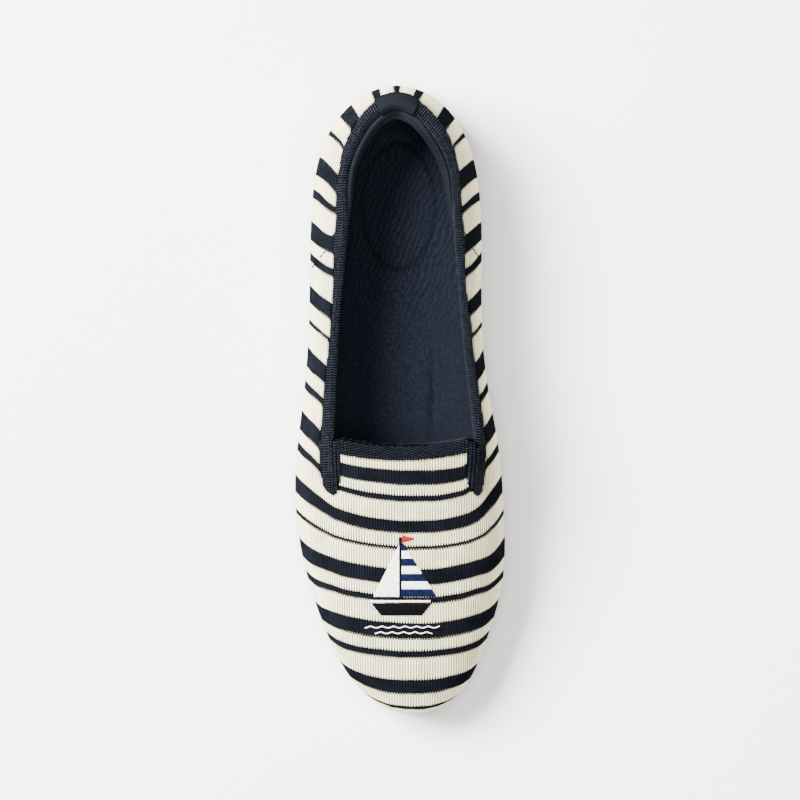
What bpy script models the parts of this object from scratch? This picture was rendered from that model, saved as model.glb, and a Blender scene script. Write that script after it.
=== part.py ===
"""Knitted slip-on loafer for a right foot, standing empty on its sole.

Frame: the toe points along -Y, the heel along +Y, the inner side of the foot
along +X, and +Z is up. The origin is on the floor, under the middle of the
shoe. Lengths are metres; the tables are in millimetres or in shares of the
driving sizes.

The last is one function of two numbers. "Share" runs once round the outline
seen from above, from the heel's back along the outer side to the toe and back
along the inner side. "Rise" runs up the wall: -1 at the feather line on the
sole, 0 at the widest line, 1 at the rim of the collar. Past 1 it goes on over
the vamp to the crest.
"""

import math

import bmesh
import bpy
import numpy as np

MM = 0.001

# Driving sizes.
LENGTH = 253 * MM
BALL_WIDTH = 84.2 * MM
INSTEP_HEIGHT = 62 * MM
WALL = 2.3 * MM
GAP = 0.3 * MM

# The last's spine: rays run to it from the outline, fanned round its two ends.
BALL_Y = -39 * MM
HEEL_Y = 66 * MM
HEEL_X = -1.3 * MM

# Outline stations, once round from the heel's back.
# along: share of the length from heel to toe; across: share of the ball width
# from the axis; widest: height of the widest line in mm; square: exponent of
# the wall's arc; rim: where the collar ends, as a share of the way out.
STATIONS = (
    # along, across, widest, square, rim
    (0.000, -0.012, 24.0, 3.40, 0.845),
    (0.030, -0.232, 23.5, 2.75, 0.760),
    (0.099, -0.369, 22.5, 2.15, 0.650),
    (0.200, -0.421, 21.0, 1.98, 0.605),
    (0.342, -0.431, 20.0, 2.25, 0.675),
    (0.480, -0.455, 19.0, 2.35, 0.695),
    (0.642, -0.500, 17.0, 2.40, 0.662),
    (0.745, -0.467, 16.5, 2.45, 0.660),
    (0.864, -0.357, 16.5, 2.45, 0.660),
    (0.972, -0.149, 18.0, 2.45, 0.660),
    (1.000, 0.083, 18.5, 2.45, 0.665),
    (0.966, 0.288, 18.0, 2.45, 0.680),
    (0.879, 0.421, 16.5, 2.45, 0.700),
    (0.792, 0.493, 16.5, 2.50, 0.715),
    (0.682, 0.501, 17.0, 2.60, 0.730),
    (0.579, 0.476, 18.0, 3.10, 0.790),
    (0.468, 0.419, 19.0, 3.50, 0.840),
    (0.322, 0.393, 20.0, 2.95, 0.780),
    (0.188, 0.388, 21.5, 2.38, 0.700),
    (0.099, 0.338, 22.5, 2.30, 0.690),
    (0.030, 0.208, 23.5, 2.75, 0.760),
)

# Crest over the spine, at each place along the foot.
# y: mm; crest: share of the instep height.
CREST = (
    # y, crest
    (127, 1.160),
    (100, 1.080),
    (66, 0.975),
    (30, 0.935),
    (5, 0.950),
    (-17, 1.000),
    (-39, 0.890),
    (-60, 0.795),
    (-80, 0.725),
    (-100, 0.655),
    (-127, 0.560),
)

# Sole, at each place along the foot, in mm.
# tread: underside at heel, forefoot and toe; arch: extra lift at the waist;
# top: the surface that carries insole and upper.
SOLE = (
    # y, tread, arch, top
    (127, 2.2, 0.0, 13.0),
    (116, 0.0, 0.0, 12.6),
    (62, 0.0, 0.0, 11.4),
    (48, 0.0, 3.4, 10.8),
    (14, 0.0, 3.4, 9.2),
    (-26, 0.0, 0.0, 7.2),
    (-72, 0.0, 0.0, 7.0),
    (-100, 1.9, 0.0, 8.4),
    (-127, 6.6, 0.0, 12.4),
)
ARCH_TILT = 0.35
SOLE_TOP_INSET = 1.5 * MM
SOLE_SIDE_INSET = 1.2 * MM
SOLE_FOOT_INSET = 3.4 * MM
SOLE_EDGE_ROUND = 2.4 * MM
LUG_DEPTH = 1.3 * MM
LUG_GROOVE = 2.8 * MM
LUG_SLOPE = 0.4 * MM
LUG_BORDER = 0.80
FOREFOOT_GROOVES_Y = (-96 * MM, -24 * MM, 7)
HEEL_GROOVES_Y = (59 * MM, 107 * MM, 5)
END_PART = 0.006

# Upper.
FEATHER_INSET = 3.0 * MM
FLAP_TOP_Y = -16.5 * MM
FLAP_CORNER_DROP = 3.3 * MM
FLAP_STEPS = 5
SLOT_STEPS = 2
SLOT_RISE = 0.03

# Insole.
INSOLE_INSET = FEATHER_INSET + WALL + 0.6 * MM
INSOLE_THICKNESS = 3.6 * MM
INSOLE_EDGE_ROUND = 0.8 * MM
HEEL_CUP_DEPTH = 2.0 * MM
HEEL_CUP_Y = (30 * MM, 80 * MM)

# Padded lining inside the heel.
PAD_END_Y = 70 * MM
PAD_GAP = 2 * GAP
PAD_EDGE = 0.9 * MM
PAD_SWELL = 5.6 * MM
PAD_RISE = (0.10, 0.96)
PAD_TAB_DROP = 0.04

# Tab over the rim at the heel's back.
TAB_HALF_SHARE = 0.0135
TAB_THICKNESS = 1.0 * MM
TAB_PATH = (
    # rise, depth of the side that faces the upper, in mm
    (0.62, -0.60),
    (0.80, -0.60),
    (0.97, -0.70),
    (1.02, -0.35),
    (1.035, 1.15),
    (1.02, 2.65),
    (1.00, 2.95),
    (0.975, 3.05),
)


def monotone_curve(rows):
    """Return a smooth curve through (y, value) rows that keeps level runs level."""
    table = np.array(sorted(rows), float)
    places, values = table[:, 0], table[:, 1]
    steps = np.diff(places)
    slopes = np.diff(values) / steps
    same_way = slopes[:-1] * slopes[1:] > 0
    inner = np.zeros(len(same_way))
    inner[same_way] = 2 / (1 / slopes[:-1][same_way] + 1 / slopes[1:][same_way])
    tangents = np.concatenate([[slopes[0]], inner, [slopes[-1]]])

    def curve(place):
        i = int(np.clip(np.searchsorted(places, place) - 1, 0, len(steps) - 1))
        t = (place - places[i]) / steps[i]
        rise = (3 - 2 * t) * t * t
        bend = t * (1 - t) * steps[i]
        start, end = tangents[i] * (1 - t), tangents[i + 1] * t
        return values[i] + (values[i + 1] - values[i]) * rise + bend * (start - end)

    return curve


def closed_spline(rows):
    """Return the closed cubic spline through rows of x, y and any more values."""
    points = np.array(rows, float)
    count = len(points)
    reach = np.linalg.norm(np.roll(points[:, :2], -1, 0) - points[:, :2], axis=1)
    matrix = np.zeros((count, count))
    right = np.zeros(points.shape)
    for i in range(count):
        before, after = reach[i - 1], reach[i]
        matrix[i, i - 1] += before
        matrix[i, i] += 2 * (before + after)
        matrix[i, (i + 1) % count] += after
        onward = (points[(i + 1) % count] - points[i]) / after
        right[i] = 6 * (onward - (points[i] - points[i - 1]) / before)
    bends = np.linalg.solve(matrix, right)
    places = np.concatenate([[0], np.cumsum(reach)])

    def spline(share):
        place = (share % 1.0) * places[-1]
        i = int(np.clip(np.searchsorted(places, place, side="right") - 1, 0, count - 1))
        j = (i + 1) % count
        b = (place - places[i]) / reach[i]
        a = 1 - b
        bow = (a**3 - a) * bends[i] + (b**3 - b) * bends[j]
        return a * points[i] + b * points[j] + bow * reach[i] ** 2 / 6

    return spline


def centred_stations():
    """Return the outline's spline in metres, its box centred on the origin."""
    rows = []
    for along, across, widest, square, rim in STATIONS:
        rows.append((across * BALL_WIDTH, (0.5 - along) * LENGTH, widest * MM, square, rim))
    spline = closed_spline(rows)
    round_trip = np.array([spline(share) for share in np.linspace(0, 1, 2000)])
    middle = (round_trip[:, :2].min(axis=0) + round_trip[:, :2].max(axis=0)) / 2
    shifted = [(x - middle[0], y - middle[1], *rest) for x, y, *rest in rows]
    return closed_spline(shifted)


station = centred_stations()
crest_share = monotone_curve(CREST)
tread_height = monotone_curve([(row[0], row[1]) for row in SOLE])
arch_height = monotone_curve([(row[0], row[2]) for row in SOLE])
seat_height = monotone_curve([(row[0], row[3]) for row in SOLE])

ROUND_TRIP = np.linspace(0, 1, 6001)
TRIP_Y = np.array([station(share)[1] for share in ROUND_TRIP])
TOE_INDEX = int(TRIP_Y.argmin())
TOE_SHARE = ROUND_TRIP[TOE_INDEX]


def crest(y):
    """Return the last's height over its spine at y."""
    return crest_share(y / MM) * INSTEP_HEIGHT


def seat(y):
    """Return the height of the sole's upper surface at y."""
    return seat_height(y / MM) * MM


def underside(y, side):
    """Return the height of the sole's underside at y; side is -1 outer, +1 inner."""
    return (tread_height(y / MM) + arch_height(y / MM) * (1 + ARCH_TILT * side)) * MM


def share_at(y, inner_side):
    """Return the outline's share where it passes y on one side of the foot."""
    if inner_side:
        return float(np.interp(y, TRIP_Y[TOE_INDEX:], ROUND_TRIP[TOE_INDEX:]))
    return float(np.interp(-y, -TRIP_Y[: TOE_INDEX + 1], ROUND_TRIP[: TOE_INDEX + 1]))


def inset_outline(share, inset):
    """Return the outline's point at share, moved square to it into the shoe."""
    step = 1e-4
    ahead, behind = station(share + step), station(share - step)
    along = (ahead - behind)[:2]
    along = along / np.linalg.norm(along)
    return station(share)[:2] + np.array((-along[1], along[0])) * inset


def rim_angle(share):
    """Return the angle up the wall's arc at which the collar ends."""
    square, rim = station(share)[3:]
    return math.acos(rim ** (square / 2))


def crest_rise(share):
    """Return the rise at which a ray of the last meets the crest."""
    return math.pi / 2 / rim_angle(share)


def last_point(share, rise):
    """Return a point on the outer face of the upper."""
    x, y, widest, square, _ = station(share)
    spine_y = min(max(y, BALL_Y), HEEL_Y)
    spine_x = HEEL_X * (spine_y - BALL_Y) / (HEEL_Y - BALL_Y)
    if rise < 0:
        tuck = rise * rise
        edge = inset_outline(share, FEATHER_INSET * tuck)
        low = seat(y) + GAP
        return np.array((edge[0], edge[1], widest + (widest - low) * rise))
    angle = min(rise * rim_angle(share), math.pi / 2)
    out = max(math.cos(angle), 0.0) ** (2 / square)
    up = math.sin(angle) ** (2 / square)
    px = spine_x + (x - spine_x) * out
    py = spine_y + (y - spine_y) * out
    return np.array((px, py, widest + (crest(py) - widest) * up))


def upper_point(share, rise, depth):
    """Return a point at a depth into the shoe from the upper's outer face."""
    point = last_point(share, rise)
    if depth == 0:
        return point
    step = 2e-3
    near_crest = min(rise, crest_rise(share) - 2 * step)
    around = last_point(share + step / 4, near_crest) - last_point(share - step / 4, near_crest)
    above = last_point(share, near_crest + step) - last_point(share, near_crest - step)
    inward = np.cross(above, around)
    inward = inward / np.linalg.norm(inward)
    inner = point + inward * depth
    if rise <= -1:
        inner[2] = point[2]
    return inner


def add_object(name, vertices, faces, material):
    """Add a closed mesh with its faces outward, smooth but for its sharp edges."""
    mesh = bpy.data.meshes.new(name)
    form = bmesh.new()
    corners = [form.verts.new(vertex) for vertex in vertices]
    for face in faces:
        form.faces.new([corners[i] for i in face])
    bmesh.ops.recalc_face_normals(form, faces=form.faces[:])
    form.to_mesh(mesh)
    form.free()
    mesh.shade_smooth()
    mesh.set_sharp_from_angle(angle=math.radians(40))
    mesh.materials.append(material)
    thing = bpy.data.objects.new(name, mesh)
    bpy.context.scene.collection.objects.link(thing)
    return thing


def add_shell(name, near, far, faces, material):
    """Add the closed solid between two sheets of points that share their faces."""
    count = len(near)
    edges = {}
    for face in faces:
        for a, b in zip(face, face[1:] + face[:1]):
            edges[frozenset((a, b))] = None if frozenset((a, b)) in edges else (a, b)
    solid = list(faces)
    solid += [tuple(count + i for i in reversed(face)) for face in faces]
    solid += [(b, a, count + a, count + b) for a, b in filter(None, edges.values())]
    return add_object(name, near + far, solid, material)


def grid_faces(columns, closed=False):
    """Return the quads between columns of point numbers, from one to the next."""
    pairs = list(zip(columns, columns[1:]))
    if closed:
        pairs.append((columns[-1], columns[0]))
    faces = []
    for left, right in pairs:
        for k in range(len(left) - 1):
            faces.append((left[k], right[k], right[k + 1], left[k + 1]))
    return faces


def make_material(name, colour, roughness):
    """Return a plain Principled material."""
    material = bpy.data.materials.new(name)
    material.use_nodes = True
    shader = material.node_tree.nodes["Principled BSDF"]
    shader.inputs["Base Color"].default_value = (*colour, 1)
    shader.inputs["Roughness"].default_value = roughness
    shader.inputs["Metallic"].default_value = 0
    return material


def flap_y(step, inward):
    """Return y on the flap at a step up it and a share of the way in from its side."""
    top_y = FLAP_TOP_Y - FLAP_CORNER_DROP * (1 - inward) ** 4
    return BALL_Y + (top_y - BALL_Y) * step / FLAP_STEPS


def upper_columns():
    """Return the shares of the upper's columns and the toe columns' first and last."""
    heel_steps, quarter_steps, toe_steps = 20, 14, 30
    quarter_y = np.linspace(HEEL_Y, flap_y(FLAP_STEPS, 0), quarter_steps + 1)
    flap_side_y = [flap_y(step, 0) for step in range(FLAP_STEPS - 1, 0, -1)]
    side_y = list(quarter_y) + flap_side_y
    outer = [share_at(y, False) for y in side_y]
    inner = [share_at(y, True) for y in reversed(side_y)]
    toe = list(np.linspace(share_at(BALL_Y, False), share_at(BALL_Y, True), toe_steps + 1))
    heel = list(np.linspace(inner[-1] - 1, outer[0], heel_steps + 1))[1:-1]
    return outer + toe + inner + heel, len(outer), len(outer) + toe_steps


def make_upper(material):
    """Make the knitted upper: a hollow wall with an open collar and a vamp flap."""
    lower_rises = (-1.0, -0.66, -0.33)
    upper_steps, vamp_steps = 7, 6
    ring_rises = lower_rises + tuple(k / upper_steps for k in range(upper_steps + 1))
    shares, first_toe, last_toe = upper_columns()
    places = []

    def number(share, rise):
        places.append((share, rise))
        return len(places) - 1

    ring = [[number(share, rise) for rise in ring_rises] for share in shares]
    faces = grid_faces(ring, closed=True)

    def inward_column(share, edge):
        span = crest_rise(share) - edge
        return [number(share, edge + span * k / vamp_steps) for k in range(1, vamp_steps)]

    pole = number(shares[first_toe], crest_rise(shares[first_toe]))
    toe_range = range(first_toe, last_toe + 1)
    vamp = [[ring[i][-1]] + inward_column(shares[i], 1) for i in toe_range]
    faces += grid_faces(vamp)
    for left, right in zip(vamp, vamp[1:]):
        faces.append((left[-1], right[-1], pole))

    def flap_half(step, side_column, inner_side):
        """Return one row's points from the flap's side to the crest."""
        joined = step <= FLAP_STEPS - 1 - SLOT_STEPS
        half = [ring[side_column][-1]] if joined else []
        for k in range(len(half), vamp_steps + 1):
            share = share_at(flap_y(step, k / vamp_steps), inner_side)
            edge = 1 if joined else 1 + SLOT_RISE
            half.append(number(share, edge + (crest_rise(share) - edge) * k / vamp_steps))
        return half

    flap = [vamp[0] + [pole] + vamp[-1][::-1]]
    for step in range(1, FLAP_STEPS + 1):
        outer_half = flap_half(step, first_toe - step, False)
        inner_half = flap_half(step, last_toe + step, True)
        flap.append(outer_half + inner_half[-2::-1])
    faces += [face[::-1] for face in grid_faces(flap)]

    near = [upper_point(share, rise, 0) for share, rise in places]
    far = [upper_point(share, rise, WALL) for share, rise in places]
    return add_shell("knit_upper", near, far, faces, material)


def rung(part, inset):
    """Return the outline's two points at a part of the way from heel to toe."""
    outer = inset_outline(TOE_SHARE * part, inset)
    inner = inset_outline(1 - (1 - TOE_SHARE) * part, inset)
    return outer, inner


def round_end_parts(count):
    """Return parts of the way from heel to toe, closer together at both ends."""
    ease = [(1 - math.cos(math.pi * i / count)) / 2 for i in range(1, count)]
    between = [part for part in ease if 1.6 * END_PART < part < 1 - 1.6 * END_PART]
    return [END_PART] + between + [1 - END_PART]


def part_at(y):
    """Return the part of the way from heel to toe whose rung is centred on y."""
    parts = np.linspace(0.001, 0.999, 400)
    middles = [(rung(part, 0)[0][1] + rung(part, 0)[1][1]) / 2 for part in parts]
    return float(np.interp(-y, -np.array(middles), parts))


def loft(name, loops, material):
    """Add the solid through closed loops of equal length, capped at both ends."""
    size = len(loops[0])
    vertices = [point for loop in loops for point in loop]
    faces = [tuple(range(size)), tuple(len(vertices) - 1 - i for i in range(size))]
    for base in range(0, len(vertices) - size, size):
        for i in range(size):
            j = (i + 1) % size
            faces.append((base + i, base + j, base + size + j, base + size + i))
    return add_object(name, vertices, faces, material)


def sole_rungs():
    """Return (part, groove) pairs: grooves are 1 on a groove's floor, else 0."""
    rungs = {part: 0 for part in round_end_parts(22)}
    for first, last, count in (FOREFOOT_GROOVES_Y, HEEL_GROOVES_Y):
        for middle in np.linspace(first, last, count):
            half = LUG_GROOVE / 2
            ends = part_at(middle + half), part_at(middle - half)
            floor = part_at(middle + half - LUG_SLOPE), part_at(middle - half + LUG_SLOPE)
            rungs = {p: g for p, g in rungs.items() if not ends[0] - 0.008 < p < ends[1] + 0.008}
            rungs.update({ends[0]: 0, floor[0]: 1, floor[1]: 1, ends[1]: 0})
    return sorted(rungs.items())


def make_outsole(material):
    """Make the rubber sole: heel, arch, toe spring and cross lugs, flat on the floor."""
    spans = (-1, -LUG_BORDER, -LUG_BORDER + 0.02, 0, LUG_BORDER - 0.02, LUG_BORDER, 1)
    loops = []
    for part, groove in sole_rungs():
        foot = rung(part, SOLE_FOOT_INSET)
        loop = []
        for side in spans:
            x, y = foot[0] + (foot[1] - foot[0]) * (side + 1) / 2
            lift = LUG_DEPTH * groove if abs(side) < LUG_BORDER else 0
            loop.append((x, y, underside(y, side) + lift))
        low, high = rung(part, SOLE_SIDE_INSET), rung(part, SOLE_TOP_INSET)
        outer_wall, inner_wall = [
            [(*low[face], underside(low[face][1], side) + SOLE_EDGE_ROUND),
             (*high[face], seat(high[face][1]))]
            for face, side in ((0, -1), (1, 1))
        ]
        loop += inner_wall + outer_wall[::-1]
        loops.append(loop)
    return loft("outsole", loops, material)


def heel_cup(y):
    """Return how much of the heel cup there is at y, from 0 to 1."""
    t = min(max((y - HEEL_CUP_Y[0]) / (HEEL_CUP_Y[1] - HEEL_CUP_Y[0]), 0), 1)
    return t * t * (3 - 2 * t)


def make_insole(material):
    """Make the cushioned insole, dished under the heel."""
    loops = []
    for part in round_end_parts(34):
        edge = rung(part, INSOLE_INSET)
        brow = rung(part, INSOLE_INSET + INSOLE_EDGE_ROUND)
        loop = [(*edge[0], seat(edge[0][1]) + GAP), (*edge[1], seat(edge[1][1]) + GAP)]
        for side in (1, 0.6, 0, -0.6, -1):
            x, y = brow[0] + (brow[1] - brow[0]) * (side + 1) / 2
            dish = HEEL_CUP_DEPTH * heel_cup(y) * (1 - side * side)
            loop.append((x, y, seat(y) + GAP + INSOLE_THICKNESS - dish))
            if side == 1:
                loop.insert(2, (*edge[1], loop[-1][2] - INSOLE_EDGE_ROUND))
        loop.append((*edge[0], loop[-1][2] - INSOLE_EDGE_ROUND))
        loops.append(loop)
    return loft("insole", loops, material)


def make_heel_pad(material):
    """Make the padded lining: a crescent against the inside of the heel."""
    column_steps, row_steps = 22, 7
    first, last = share_at(PAD_END_Y, True) - 1, share_at(PAD_END_Y, False)
    near, far, columns = [], [], []
    for share in np.linspace(first, last, column_steps + 1):
        bow = math.sin(math.pi * (share - first) / (last - first))
        under_tab = math.exp(-((share / TAB_HALF_SHARE / 1.4) ** 4))
        low, high = PAD_RISE[0], PAD_RISE[1] - PAD_TAB_DROP * under_tab
        column = []
        for k in range(row_steps + 1):
            t = k / row_steps
            rise = low + (high - low) * t
            swell = PAD_SWELL * bow * math.sqrt(max(math.sin(math.pi * (0.12 + 0.8 * t)), 0))
            column.append(len(near))
            near.append(upper_point(share, rise, WALL + PAD_GAP))
            far.append(upper_point(share, rise, WALL + PAD_GAP + PAD_EDGE + swell))
        columns.append(column)
    return add_shell("heel_collar_pad", near, far, grid_faces(columns), material)


def make_heel_tab(material):
    """Make the smooth tab that folds over the rim at the heel's back."""
    column_steps = 6
    near, far, columns = [], [], []
    for share in np.linspace(-TAB_HALF_SHARE, TAB_HALF_SHARE, column_steps + 1):
        path = np.array([upper_point(share, rise, depth * MM) for rise, depth in TAB_PATH])
        along = np.gradient(path, axis=0)
        around = path[0] - upper_point(share + 0.002, *[TAB_PATH[0][0], TAB_PATH[0][1] * MM])
        column = []
        for point, tangent in zip(path, along):
            out = np.cross(tangent, around)
            out = out / np.linalg.norm(out)
            column.append(len(near))
            near.append(point)
            far.append(point + out * TAB_THICKNESS)
        columns.append(column)
    return add_shell("heel_tab", near, far, grid_faces(columns), material)


def build():
    """Build the five pieces under one empty."""
    for thing in list(bpy.data.objects):
        bpy.data.objects.remove(thing, do_unlink=True)
    knit = make_material("navy_knit", (0.022, 0.026, 0.038), 0.9)
    rubber = make_material("dark_rubber", (0.016, 0.018, 0.024), 0.6)
    footbed = make_material("twill_footbed", (0.020, 0.026, 0.040), 0.85)
    lining = make_material("slate_lining", (0.036, 0.044, 0.056), 0.8)
    microfibre = make_material("slate_microfibre", (0.044, 0.052, 0.066), 0.6)
    pieces = (
        make_outsole(rubber),
        make_insole(footbed),
        make_upper(knit),
        make_heel_pad(lining),
        make_heel_tab(microfibre),
    )
    shoe = bpy.data.objects.new("loafer", None)
    bpy.context.scene.collection.objects.link(shoe)
    for piece in pieces:
        piece.parent = shoe


build()
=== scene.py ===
"""Dress the knitted slip-on loafer: striped knit, ribbed collar, insole and sole.

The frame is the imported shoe: toe along -Y, heel along +Y, inner side of the
foot along +X, origin on the floor. Tables are in millimetres or in shares of
the driving sizes; everything that reaches a mesh is in metres.

The last is one function of two numbers. "Share" runs once round the outline
from the heel's back along the outer side to the toe and back along the inner
side. "Rise" runs up the wall: -1 at the feather line, 0 at the widest line, 1
at the collar's rim, and on over the vamp to the crest.
"""

import logging
import math
from dataclasses import dataclass, field
from enum import Enum
from typing import Any, Callable, Sequence

import bmesh
import bpy
import numpy as np
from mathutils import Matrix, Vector


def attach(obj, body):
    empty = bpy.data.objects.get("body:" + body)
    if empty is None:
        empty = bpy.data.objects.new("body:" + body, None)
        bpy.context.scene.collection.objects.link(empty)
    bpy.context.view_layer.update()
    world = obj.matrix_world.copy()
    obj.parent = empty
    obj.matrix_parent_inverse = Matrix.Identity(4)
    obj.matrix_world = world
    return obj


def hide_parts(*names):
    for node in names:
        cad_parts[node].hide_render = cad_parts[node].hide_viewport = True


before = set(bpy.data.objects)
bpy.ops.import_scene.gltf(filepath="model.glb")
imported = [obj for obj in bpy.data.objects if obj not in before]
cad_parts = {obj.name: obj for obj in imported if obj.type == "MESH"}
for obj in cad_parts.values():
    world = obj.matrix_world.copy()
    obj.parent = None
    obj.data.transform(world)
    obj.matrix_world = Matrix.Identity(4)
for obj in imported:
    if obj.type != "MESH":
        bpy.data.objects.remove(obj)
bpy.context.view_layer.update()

MM = 0.001
BODY = "root"
LOG = logging.getLogger("loafer")

Array = np.ndarray
Colour = tuple[int, int, int]
Finish = bpy.types.Material
Piece = bpy.types.Object
Steps = Sequence[tuple[float, float]]
Quad = tuple[int, ...]
Rows = tuple[tuple[float, ...], ...]
Inputs = dict[Any, Any]


class Side(Enum):
    """The two sides of the foot; the value is the sign of X."""

    OUTER = -1
    INNER = 1


class Face(Enum):
    """Material slots of a solid made from two sheets."""

    OUTSIDE = 0
    INSIDE = 1


# ---- The last ----


@dataclass(frozen=True)
class MonotoneCurve:
    """A smooth curve through rows of (place, value) that keeps level runs level."""

    rows: Rows

    def __call__(self, place: Array) -> Array:
        """Return the curve's value at each place.

        Args:
            place: Where to read it.

        Returns:
            The curve's values.
        """
        table = np.array(sorted(self.rows), float)
        places, values = table[:, 0], table[:, 1]
        steps = np.diff(places)
        slopes = np.diff(values) / steps
        same_way = slopes[:-1] * slopes[1:] > 0
        inner = np.zeros(len(same_way))
        inner[same_way] = 2 / (1 / slopes[:-1][same_way] + 1 / slopes[1:][same_way])
        tangents = np.concatenate([[slopes[0]], inner, [slopes[-1]]])
        i = np.clip(np.searchsorted(places, place) - 1, 0, len(steps) - 1)
        t = (place - places[i]) / steps[i]
        rise = (3 - 2 * t) * t * t
        bend = t * (1 - t) * steps[i]
        turn = tangents[i] * (1 - t) - tangents[i + 1] * t
        return values[i] + (values[i + 1] - values[i]) * rise + bend * turn


class ClosedSpline:
    """The closed cubic spline through rows of x, y and any more values."""

    def __init__(self, rows: Array) -> None:
        """Solve the spline's bends.

        Args:
            rows: One row for each point, the first two numbers its place.
        """
        self.points = np.array(rows, float)
        count = len(self.points)
        onward = np.roll(self.points, -1, 0) - self.points
        self.reach = np.linalg.norm(onward[:, :2], axis=1)
        slopes = onward / self.reach[:, None]
        before = np.roll(self.reach, 1)
        matrix = np.diag(2 * (before + self.reach))
        for i in range(count):
            matrix[i, i - 1] = before[i]
            matrix[i, (i + 1) % count] = self.reach[i]
        self.bends = np.linalg.solve(matrix, 6 * (slopes - np.roll(slopes, 1, 0)))
        self.places = totals(self.reach)

    def __call__(self, share: Array) -> Array:
        """Return the rows at each share of the way round.

        Args:
            share: Shares of the way round.

        Returns:
            One row for each share.
        """
        place = share % 1.0 * self.places[-1]
        i = np.searchsorted(self.places, place, side="right") - 1
        i = np.clip(i, 0, len(self.points) - 1)
        j = (i + 1) % len(self.points)
        b = ((place - self.places[i]) / self.reach[i])[..., None]
        a = 1 - b
        bow = (a**3 - a) * self.bends[i] + (b**3 - b) * self.bends[j]
        return a * self.points[i] + b * self.points[j] + bow * self.reach[i][..., None] ** 2 / 6


def unit(vectors: Array) -> Array:
    """Return the vectors at length 1."""
    return vectors / np.maximum(np.linalg.norm(vectors, axis=-1, keepdims=True), 1e-12)


def smooth(value: Array, low: float, high: float) -> Array:
    """Return 0 below low, 1 above high and an eased step between."""
    t = np.clip((value - low) / (high - low), 0, 1)
    return t * t * (3 - 2 * t)


def bell(value: Array, width: float) -> Array:
    """Return 1 at 0, falling off on both sides over a width."""
    return np.exp(-(value / width) ** 2)


def paired(first: Any, second: Any) -> list[Array]:
    """Return two values as arrays of numbers of one shape."""
    return np.broadcast_arrays(np.asarray(first, float), np.asarray(second, float))


def totals(steps: Array) -> Array:
    """Return 0 and the running totals of steps."""
    return np.concatenate([[0], np.cumsum(steps)])


def running(points: Array) -> Array:
    """Return the way run along a line at each of its points."""
    return totals(np.linalg.norm(np.diff(points, axis=0), axis=1))


def bilinear(table: Array, row: Array, column: Array) -> Array:
    """Return a table read between its rows and columns."""
    i = np.minimum(row.astype(int), table.shape[0] - 2)
    j = np.minimum(column.astype(int), table.shape[1] - 2)
    a, b = row - i, column - j
    near = table[i, j] * (1 - b) + table[i, j + 1] * b
    return near * (1 - a) + (table[i + 1, j] * (1 - b) + table[i + 1, j + 1] * b) * a


def by_side(inner: Array, read: Callable[[Side], Array]) -> Array:
    """Return what is read for the inner side where inner is true, and for the outer elsewhere."""
    return np.where(inner, read(Side.INNER), read(Side.OUTER))


def linked(name: str, data: Any) -> Piece:
    """Return a new object of the data, linked to the scene."""
    thing = bpy.data.objects.new(name, data)
    bpy.context.scene.collection.objects.link(thing)
    return thing


def along_table(rows: Rows, place: Array, column: int = 1) -> Array:
    """Return one column of a table of rows, read in straight lines between its places."""
    table = np.array(sorted(rows), float)
    return np.interp(place, table[:, 0], table[:, column])


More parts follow.
